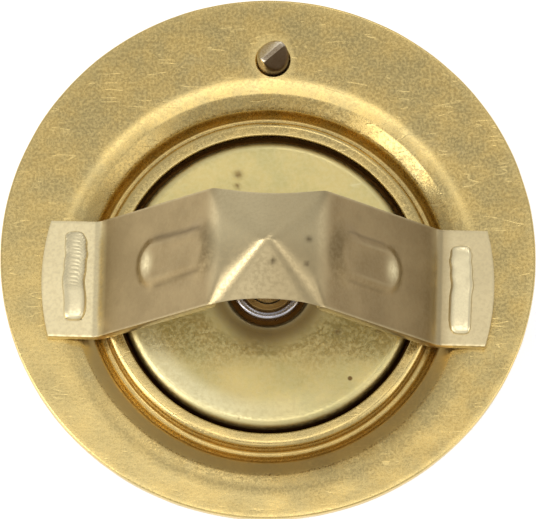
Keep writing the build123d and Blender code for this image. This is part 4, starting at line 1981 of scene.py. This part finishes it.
@dataclass(frozen=True)
class Studio:
    """The pale floor, the soft lamps and the camera. Lengths are in millimetres."""

    floor_height: float = -33.1
    floor_half: float = 6000.0
    floor_colour: Colour = (0.86, 0.86, 0.86)
    floor_glow: float = 0.4
    world_level: float = 0.64
    elevation_deg: float = 75.5
    camera_distance: float = 1500.0
    half_view: float = 27.015
    aim: tuple[float, float, float] = (0.0, -0.15, 0.0)

    def floor(self) -> None:
        """Lays the floor under the object."""
        shape = bmesh.new()
        place = Matrix.Translation((0.0, 0.0, self.floor_height * MM))
        bmesh.ops.create_grid(shape, x_segments=1, y_segments=1, size=self.floor_half * MM, matrix=place)
        floor = as_object("floor", shape)
        material = bpy.data.materials.new("floor_paper")
        material.use_nodes = True
        shader = material.node_tree.nodes["Principled BSDF"]
        shader.inputs["Base Color"].default_value = rgba(self.floor_colour)
        shader.inputs["Roughness"].default_value = 0.9
        tools = Nodes(material.node_tree)
        rays = tools.add("LightPath").outputs
        seen = tools.maths("MAXIMUM", rays["Is Camera Ray"], rays["Is Glossy Ray"])
        seen = tools.maths("MAXIMUM", seen, rays["Is Transmission Ray"])
        glow = tools.add("Emission", Strength=tools.maths("MULTIPLY", seen, self.floor_glow))
        both = tools.add("AddShader")
        tools.put(both.inputs[0], shader.outputs[0])
        tools.put(both.inputs[1], glow.outputs[0])
        tools.put(tools.tree.nodes["Material Output"].inputs["Surface"], both.outputs[0])
        floor.data.materials.append(material)

    def world(self) -> None:
        """Surrounds the object with an even grey."""
        world = bpy.data.worlds.new("studio_air")
        world.use_nodes = True
        background = world.node_tree.nodes["Background"]
        background.inputs["Color"].default_value = rgba((self.world_level,) * 3)
        bpy.context.scene.world = world

    def camera(self) -> None:
        """Sets the camera high in front, with a long lens."""
        data = bpy.data.cameras.new("camera")
        data.lens = data.sensor_width / 2 * self.camera_distance / self.half_view
        data.clip_end = 10.0
        camera = bpy.data.objects.new("camera", data)
        rise = math.radians(self.elevation_deg)
        back = Vector((0.0, -math.cos(rise), math.sin(rise)))
        camera.location = (Vector(self.aim) + back * self.camera_distance) * MM
        camera.rotation_euler = (math.radians(90.0 - self.elevation_deg), 0.0, 0.0)
        bpy.context.scene.collection.objects.link(camera)
        bpy.context.scene.camera = camera

    def build(self) -> None:
        """Sets up the floor, the light and the camera."""
        self.floor()
        self.world()
        for lamp in LAMPS:
            lamp.build()
        self.camera()
        bpy.context.scene.view_settings.view_transform = "Standard"
        LOG.info("the studio has %d lamps", len(LAMPS))


# ---------------------------------------------------------------- whole object


@dataclass(frozen=True)
class Thermostat:
    """The whole thermostat, sub-assembly by sub-assembly."""

    flange: Flange = Flange()
    bridge: Bridge = Bridge()
    stirrup: Stirrup = Stirrup()
    valve: tuple[TurnedPart, ...] = (VALVE_DISC, NECK_RING, GUIDE, CUP, PISTON_ROD)
    spring: ClosingSpring = ClosingSpring()
    pin: VentPin = VentPin()

    def dress_inner_parts(self, bench: Bench) -> None:
        """Dresses the parts inside the capsule, which keep their CAD shapes.

        Args:
            bench: Where they are dressed.
        """
        inner = {
            "wax_charge": COPPERY_WAX,
            "diaphragm": BLACK_RUBBER,
            "rubber_plug": BLACK_RUBBER,
            "backup_disc": HARD_DISC,
        }
        for node, finish in inner.items():
            bench.dress(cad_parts[node], finish)
            LOG.info("%s keeps its CAD shape in %s", node, finish.name)

    def build(self, bench: Bench) -> None:
        """Builds every sub-assembly in order.

        Args:
            bench: Where the pieces are dressed.
        """
        self.flange.build(bench)
        self.bridge.build(bench)
        self.stirrup.build(bench)
        for part in self.valve:
            part.build(bench)
        self.spring.build(bench)
        self.pin.build(bench)
        self.dress_inner_parts(bench)


def main() -> None:
    """Builds the dressed thermostat and its studio."""
    logging.basicConfig(level=logging.INFO, format="%(name)s: %(message)s")
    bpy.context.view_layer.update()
    Thermostat().build(Bench())
    Studio().build()


if __name__ == "__main__":
    main()
